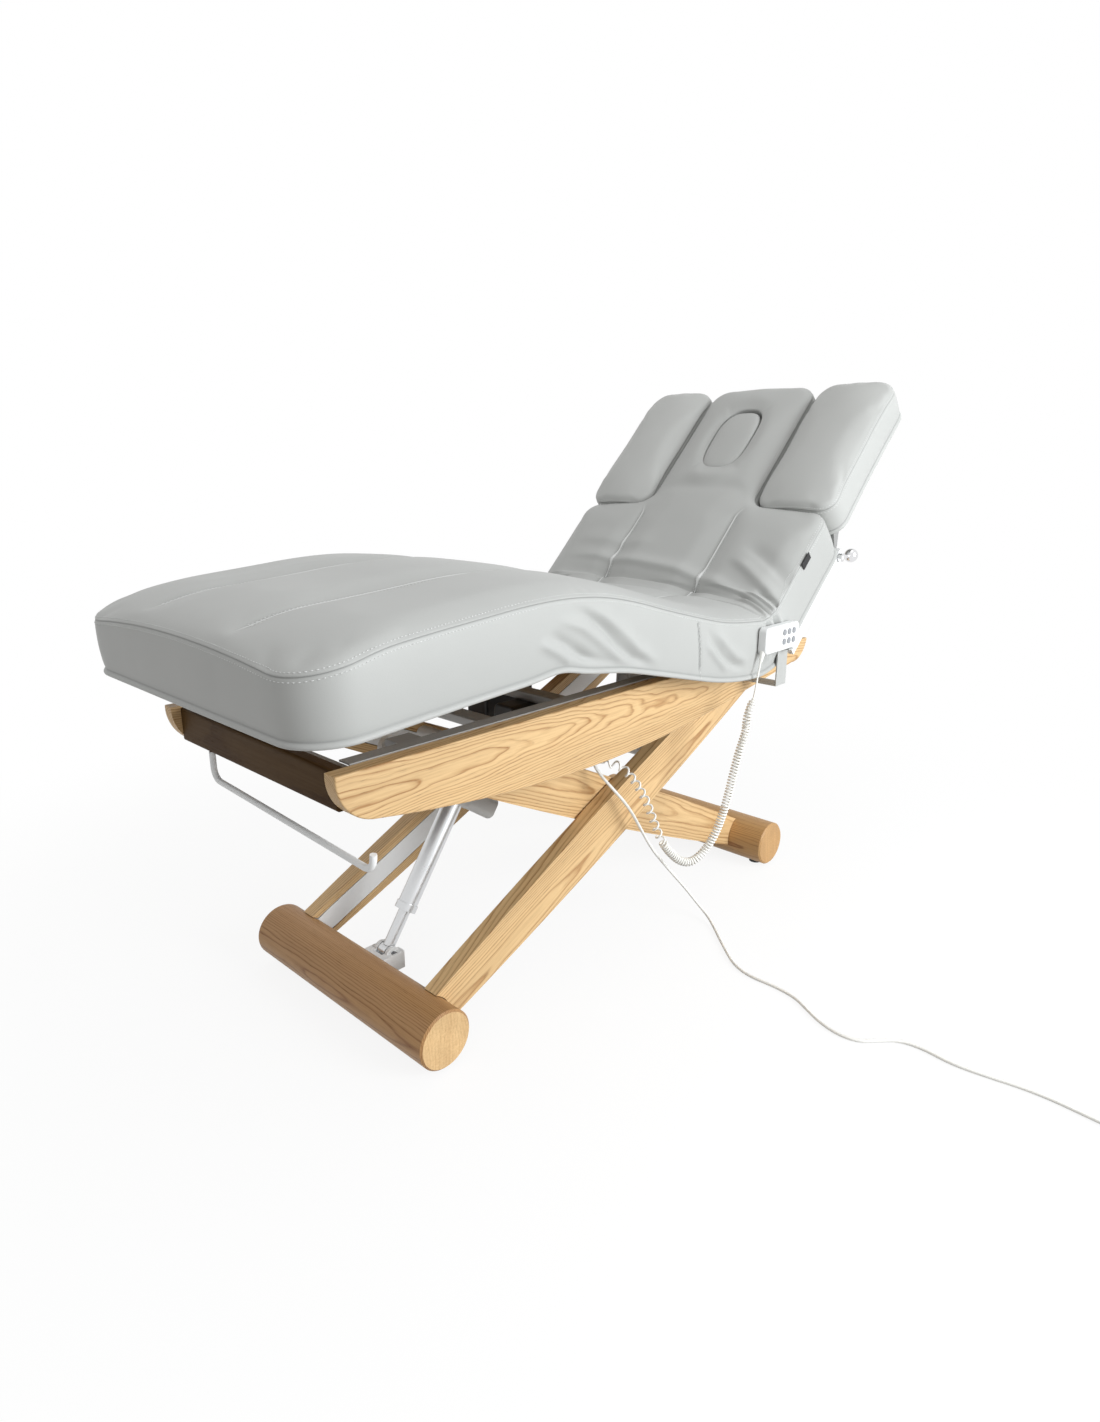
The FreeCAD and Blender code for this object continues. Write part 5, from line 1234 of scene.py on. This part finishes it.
TOP_FOLDS = [
    ([(1.440, 0.37), (1.436, 0.20), (1.425, 0.05), (1.412, -0.08), (1.388, -0.20), (1.345, -0.30),
      (1.285, -0.37), (1.255, -0.41)], 0.021, 0.0095),
    ([(1.385, 0.37), (1.380, 0.15), (1.368, 0.0), (1.345, -0.15), (1.308, -0.26),
      (1.262, -0.36)], 0.021, -0.0100),
    ([(1.345, -0.270), (1.305, -0.335), (1.272, -0.395)], 0.009, -0.0085),
    ([(1.368, -0.295), (1.330, -0.355), (1.300, -0.402)], 0.009, 0.0075),
    ([(1.315, -0.280), (1.275, -0.345), (1.240, -0.395)], 0.010, 0.0075),
    ([(1.392, -0.315), (1.358, -0.365), (1.330, -0.402)], 0.009, -0.0075),
    ([(1.480, -0.20), (1.440, -0.27), (1.400, -0.33), (1.365, -0.395)], 0.020, 0.0085),
    ([(1.520, -0.22), (1.485, -0.29), (1.440, -0.36), (1.420, -0.40)], 0.022, -0.0055),
    ([(1.345, 0.25), (1.300, 0.34), (1.275, 0.40)], 0.010, -0.0070),
    ([(1.375, 0.28), (1.330, 0.36), (1.305, 0.40)], 0.010, 0.0065),
    ([(1.230, -0.400), (1.225, -0.300), (1.235, -0.180)], 0.016, -0.0055),
    ([(1.505, 0.34), (1.495, 0.15), (1.500, 0.02)], 0.030, 0.0045),
]
SIDE_FOLDS = [
    ([(0.490, 0.102), (0.541, 0.088), (0.590, 0.062), (0.640, 0.030), (0.700, 0.006), (0.780, -0.010)],
     0.010, -0.0085),
    ([(0.520, 0.108), (0.580, 0.088), (0.640, 0.058), (0.700, 0.028), (0.800, 0.000)], 0.013, 0.0065),
    ([(0.460, 0.088), (0.530, 0.066), (0.590, 0.034), (0.650, 0.006), (0.700, -0.012)], 0.011, 0.0055),
    ([(0.445, 0.064), (0.490, 0.042), (0.530, 0.022), (0.580, -0.002)], 0.010, -0.0075),
    ([(0.425, 0.052), (0.475, 0.026), (0.520, 0.000)], 0.011, 0.0055),
    ([(0.490, 0.030), (0.550, 0.010), (0.610, -0.002), (0.670, -0.012)], 0.009, -0.0065),
    ([(0.930, 0.094), (0.975, 0.064), (1.020, 0.036), (1.070, 0.018), (1.135, 0.004)], 0.010, -0.0075),
    ([(0.965, 0.096), (1.020, 0.064), (1.070, 0.040), (1.140, 0.022)], 0.012, 0.0055),
    ([(0.930, 0.064), (0.990, 0.034), (1.060, 0.000)], 0.012, 0.0050),
    ([(1.195, 0.110), (1.214, 0.060), (1.222, 0.000)], 0.013, 0.0065),
    ([(1.232, 0.118), (1.246, 0.060), (1.252, -0.002)], 0.011, -0.0080),
    ([(1.260, 0.120), (1.270, 0.060), (1.274, -0.004)], 0.011, 0.0075),
    ([(1.288, 0.122), (1.296, 0.070), (1.300, 0.004)], 0.011, -0.0070),
    ([(1.314, 0.120), (1.324, 0.070), (1.328, 0.024)], 0.012, 0.0055),
]
SIDE_SEAM = ((0.902, 0.098), (0.948, -0.016))


def nearest(place, points):
    """Distance from a place to a line of points, the share of the line there, and the side it lies on."""
    best, run = None, 0.0
    for (a0, b0), (a1, b1) in zip(points, points[1:]):
        da, db = a1 - a0, b1 - b0
        length = math.hypot(da, db)
        share = ((place[0] - a0) * da + (place[1] - b0) * db) / (length * length)
        share = min(1.0, max(0.0, share))
        pa, pb = place[0] - a0 - share * da, place[1] - b0 - share * db
        away = math.hypot(pa, pb)
        if best is None or away < best[0]:
            best = (away, run + share * length, pa * db - pb * da)
        run += length
    return best[0], best[1] / run, best[2]


def fold_height(place, folds):
    """Rise or dip of the cover at a flat place from a list of folds, each steeper on one side."""
    total = 0.0
    for points, width, height in folds:
        reach = 3 * width
        places = [point[0] for point in points]
        if place[0] < min(places) - reach or place[0] > max(places) + reach:
            continue
        away, share, side = nearest(place, points)
        if away < reach:
            fade = smooth(0.0, 0.30, share) * (1 - smooth(0.72, 1.0, share))
            total += height * fade * hump(away, 0.0, width * (0.55 if side > 0 else 1.05))
    return total


def crease(mesh):
    """Lays the folds and the side seams into the flat mattress, with painted shade along the side seams."""
    moves = []
    seam_shade_and_cord_data = mesh.attributes["seam"].data
    for vertex in mesh.vertices:
        place, normal = vertex.co, vertex.normal
        move = 0.0
        if normal.z > 0.5 and place.z > 0.06:
            move = fold_height((place.x, place.y), TOP_FOLDS) * smooth(0.5, 0.85, normal.z)
        elif abs(normal.y) > 0.5 and place.x < 1.60:
            keep = smooth(-0.012, 0.012, place.z)
            mirrored = place.x if place.y < 0 else place.x + 0.012 * math.sin(place.x * 37)
            move = fold_height((mirrored, place.z), SIDE_FOLDS) * smooth(0.5, 0.85, abs(normal.y)) * keep
            away = nearest((place.x, place.z), SIDE_SEAM)[0]
            dent = hump(away, 0.0, 0.0042) * keep
            move -= 0.0032 * dent
            # Painted shade along the side seam's dent.
            seam_shade_and_cord_data[vertex.index].value = max(seam_shade_and_cord_data[vertex.index].value, dent)
        moves.append(normal * move)
    for vertex, move in zip(mesh.vertices, moves):
        vertex.co += move


def stitch_row(tree, rays, made, thread_radius, length):
    """Small thread loops laid on a surface at points that rays find, along the row."""
    found = []
    for origin, direction in rays:
        hit, normal = tree.ray_cast(origin, direction)[:2]
        found.append((hit, normal) if hit is not None else None)
    for first, second in zip(found, found[1:]):
        if first is None or second is None:
            continue
        away = second[0] - first[0]
        if away.length > 2.2 * length or away.length < 0.2 * length:
            continue
        middle = (first[0] + second[0]) / 2 + (first[1] + second[1]).normalized() * thread_radius * 0.25
        turn = away.to_track_quat("X", "Z").to_matrix().to_4x4()
        scale = Matrix.Diagonal((away.length * 0.36, thread_radius, thread_radius, 1.0))
        bmesh.ops.create_icosphere(made, subdivisions=1, radius=1.0,
                                   matrix=Matrix.Translation(middle) @ turn @ scale)


def add_made(whole, made, index):
    """Adds finished threads or a tag to a cover, with one of its materials."""
    for face in made.faces:
        face.material_index = index
        face.smooth = True
    mesh = as_mesh("threads", made)
    whole.from_mesh(mesh)
    bpy.data.meshes.remove(mesh)


def split_piece(source, name, low, high, materials):
    """The part of the finished mattress between two places along it, closed at its cuts, shaded as one."""
    shape = bmesh.new()
    shape.from_mesh(source)
    for cut, way in ((low, -1), (high, 1)):
        if U_FOOT < cut < U_END:
            ahead = (bent(Vector((cut + 0.004, 0, 0))) - bent(Vector((cut - 0.004, 0, 0)))).normalized() * way
            everything = list(shape.verts) + list(shape.edges) + list(shape.faces)
            bmesh.ops.bisect_plane(shape, geom=everything, dist=0.000001, plane_co=bent(Vector((cut, 0, 0))),
                                   plane_no=ahead, clear_outer=True)
    waiting = [edge.link_faces[0] for edge in shape.edges
               if edge.is_boundary and edge.link_faces[0].material_index]
    cut_threads = set(waiting)
    while waiting:
        for other in {face for edge in waiting.pop().edges for face in edge.link_faces} - cut_threads:
            cut_threads.add(other)
            waiting.append(other)
    bmesh.ops.delete(shape, geom=list(cut_threads), context="FACES")
    rims = [edge for edge in shape.edges if edge.is_boundary]
    bmesh.ops.triangulate(shape, faces=bmesh.ops.holes_fill(shape, edges=rims, sides=0)["faces"])
    for face in shape.faces:
        face.smooth = True
    shading = shape.verts.layers.float_vector["shading"]
    kept = [Vector(vertex[shading]).normalized() for vertex in shape.verts]
    mesh = as_mesh(name, shape)
    normals = []
    for face in mesh.polygons:
        is_cut = face.normal.dot(sum((kept[corner] for corner in face.vertices), Vector())) < 0.3
        normals += [face.normal if is_cut else kept[corner] for corner in face.vertices]
    mesh.normals_split_custom_set(normals)
    return new_piece(name, mesh, materials)


CUT_THIGH, CUT_SEAT = 0.846, SEAT_MIDDLE_U


class SPABED_OT_mattress(Operator):
    """Makes the mattress from the foot end to the head panel, in three pieces split at the hinges"""
    bl_idname = "spabed.mattress"
    bl_label = "Mattress"

    def execute(self, context):
        cover = context.scene.spa_upholstery
        pad = Mattress(cover, cover.shoulder)
        mesh = filled_out("mattress_flat", pad.shape, pad.pins, cover.swell)
        pad.shape.free()
        mesh = finer(mesh)
        crease(mesh)
        whole = bmesh.new()
        whole.from_mesh(mesh)
        self.sew(whole, cover, pad)
        for vertex in whole.verts:
            vertex.co = bent(vertex.co)
        whole.normal_update()
        shading = whole.verts.layers.float_vector.new("shading")
        for vertex in whole.verts:
            vertex[shading] = vertex.normal
        bended = as_mesh("mattress_bent", whole)
        skin = leatherette("Grey Leatherette")
        thread = coated("Sewing Thread", cover.thread, 0.0006, 0.6, 0.0, 0.2)
        label = coated("Black Tag", (0.012, 0.012, 0.013), 0.0008, 0.65, 0.0, 0.3)
        legs = split_piece(bended, "mattress_legs", U_FOOT, CUT_THIGH, [skin, thread])
        seat = split_piece(bended, "mattress_seat", CUT_THIGH, CUT_SEAT, [skin, thread])
        back = split_piece(bended, "mattress_back", CUT_SEAT, U_END, [skin, thread, label])
        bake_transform(legs)
        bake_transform(seat)
        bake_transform(back)
        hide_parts("calf_cushion")
        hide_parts("thigh_cushion", "seat_cushion")
        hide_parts("back_cushion", "head_cushion")
        return {"FINISHED"}

    def sew(self, whole, cover, pad):
        """Adds the stitches of the lengthwise seams, the side seams and the edge seam, and the tag."""
        tree = BVHTree.FromBMesh(whole)
        made = bmesh.new()
        step, thread = cover.stitch, cover.needle
        start, finish, beside = 0.05, U_BACK_END - 0.045, 0.0062
        count, down = int((finish - start) / step), Vector((0, 0, -1))
        for side in (-1, 1):
            for offset in (-beside, beside):
                across = side * (CHANNEL_Y + offset)
                rays = [(Vector((start + index * step, across, 0.3)), down) for index in range(count)]
                stitch_row(tree, rays, made, thread, step)
            top, low = (Vector((u + 0.0042, side * 0.6, z)) for u, z in SIDE_SEAM)
            rays = [(top.lerp(low, index / 13), Vector((0, -side, 0))) for index in range(14)]
            stitch_row(tree, rays, made, thread, step)
        pad.stitch_seam(tree, made)
        add_made(whole, made, 1)
        tag = bmesh.new()
        bmesh.ops.create_cube(tag, size=1.0, matrix=Matrix.Translation((U_BACK + 0.226, -0.3885, 0.106))
                              @ Matrix.Diagonal((0.040, 0.0022, 0.019, 1.0)))
        bmesh.ops.bevel(tag, geom=list(tag.edges), offset=0.0006, affect="EDGES", segments=2, profile=0.5,
                        material=-1)
        add_made(whole, tag, 2)


ARM_EDGE, ARM_MIDDLE = 0.016, 0.283


class SPABED_OT_arm_pads(Operator):
    """Makes the two arm pads and the oval plug of the face hole"""
    bl_idname = "spabed.arm_pads"
    bl_label = "Arm Pads and Face Plug"

    def execute(self, context):
        cover = context.scene.spa_upholstery
        # Painted light: the arm pads take a copy of the leatherette lightened by 1.10, for the extra light that
        # falls on them.
        skin = leatherette("Arm Pad Leatherette", 1.10)
        thread = bpy.data.materials["Sewing Thread"]
        pad = ArmPad(cover, ARM_EDGE)
        flat = finer(filled_out("arm_pad_flat", pad.shape, pad.pins, cover.swell))
        pad.shape.free()
        for side, name in ((-1, "left"), (1, "right")):
            whole = bmesh.new()
            whole.from_mesh(flat)
            made = bmesh.new()
            pad.stitch_seam(BVHTree.FromBMesh(whole), made)
            add_made(whole, made, 1)
            for face in whole.faces:
                face.smooth = True
            for vertex in whole.verts:
                u, y, z = vertex.co
                if z > 0.11:
                    z += 0.0012 * math.sin(u * 31 + side) * math.sin(y * 24 + 1.3 * side)
                vertex.co = on_back((u, side * ARM_MIDDLE + y, z))
            thing = new_piece("arm_cushion_" + name, as_mesh("arm_cushion_" + name, whole), [skin, thread])
            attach(thing, "arm_rest_" + name)
            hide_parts("arm_pad_" + name)
        self.plug(bpy.data.materials["Grey Leatherette"])
        return {"FINISHED"}

    def plug(self, skin):
        """A turned plug drawn out to the oval of the face hole, with a little play."""
        shape = bmesh.new()
        low, top, play = 0.0232, 0.1375, 0.0015
        wide = OVAL[1] - play
        outline = [(0.0, top + 0.0035), (0.25 * wide, top + 0.0034), (0.48 * wide, top + 0.0028),
                   (0.68 * wide, top + 0.0018), (0.83 * wide, top + 0.0006), (0.92 * wide, top - 0.0012),
                   (0.965 * wide, top - 0.0032), (0.990 * wide, top - 0.0065), (0.985 * wide, top - 0.0095),
                   (wide, top - 0.0125), (wide, top - 0.040), (wide, top - 0.070), (0.994 * wide, low + 0.008),
                   (0.97 * wide, low + 0.002), (0.92 * wide, low), (0.47 * wide, low), (0.0, low)]
        points = [shape.verts.new((reach, 0, height)) for reach, height in outline]
        lines = [shape.edges.new(pair) for pair in zip(points, points[1:])]
        bmesh.ops.spin(shape, geom=points + lines, cent=(0, 0, 0), axis=(0, 0, 1), angle=2 * math.pi, steps=72,
                       use_merge=True)
        bmesh.ops.remove_doubles(shape, verts=shape.verts, dist=0.00002)
        bmesh.ops.recalc_face_normals(shape, faces=shape.faces)
        for vertex in shape.verts:
            swell = 0.0008 * math.sin(vertex.co.x * 70) if vertex.co.z > 0.12 else 0.0
            full = fullness(math.atan2(vertex.co.y, vertex.co.x))
            along = OVAL_U - U_BACK + full * vertex.co.x * (OVAL[0] - play) / wide
            vertex.co = on_back((along, full * vertex.co.y, vertex.co.z + swell))
        for face in shape.faces:
            face.smooth = True
        thing = new_piece("face_plug_cushion", as_mesh("face_plug_cushion", shape), [skin])
        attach(thing, "face_plug")
        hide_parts("face_plug")


# Panel and registration

OPERATORS = (SPABED_OT_stage, SPABED_OT_leads, SPABED_OT_timber, SPABED_OT_metalwork, SPABED_OT_handset,
             SPABED_OT_mattress, SPABED_OT_arm_pads)
SETTINGS = (("spa_upholstery", SpaBedUpholstery), ("spa_timber", SpaBedTimber), ("spa_metal", SpaBedMetal),
            ("spa_cords", SpaBedCords), ("spa_stage", SpaBedStage))


class SPABED_PT_pieces(Panel):
    """Lists the pieces of the spa bed"""
    bl_idname = "SPABED_PT_pieces"
    bl_label = "Spa Bed"
    bl_space_type = "VIEW_3D"
    bl_region_type = "UI"
    bl_category = "Spa Bed"

    def draw(self, context):
        layout = self.layout
        for operator in OPERATORS:
            layout.operator(operator.bl_idname)
        for name, kind in SETTINGS:
            box = layout.box()
            box.label(text=kind.__doc__)
            for prop in kind.__annotations__:
                box.prop(getattr(context.scene, name), prop)


CLASSES = tuple(kind for name, kind in SETTINGS) + OPERATORS + (SPABED_PT_pieces,)


def register():
    for kind in CLASSES:
        bpy.utils.register_class(kind)
    for name, kind in SETTINGS:
        setattr(bpy.types.Scene, name, PointerProperty(type=kind))


def unregister():
    for name, kind in SETTINGS:
        delattr(bpy.types.Scene, name)
    for kind in reversed(CLASSES):
        bpy.utils.unregister_class(kind)


def main():
    register()
    for operator in OPERATORS:
        getattr(bpy.ops.spabed, operator.bl_idname.split(".")[1])()


if __name__ == "__main__":
    main()
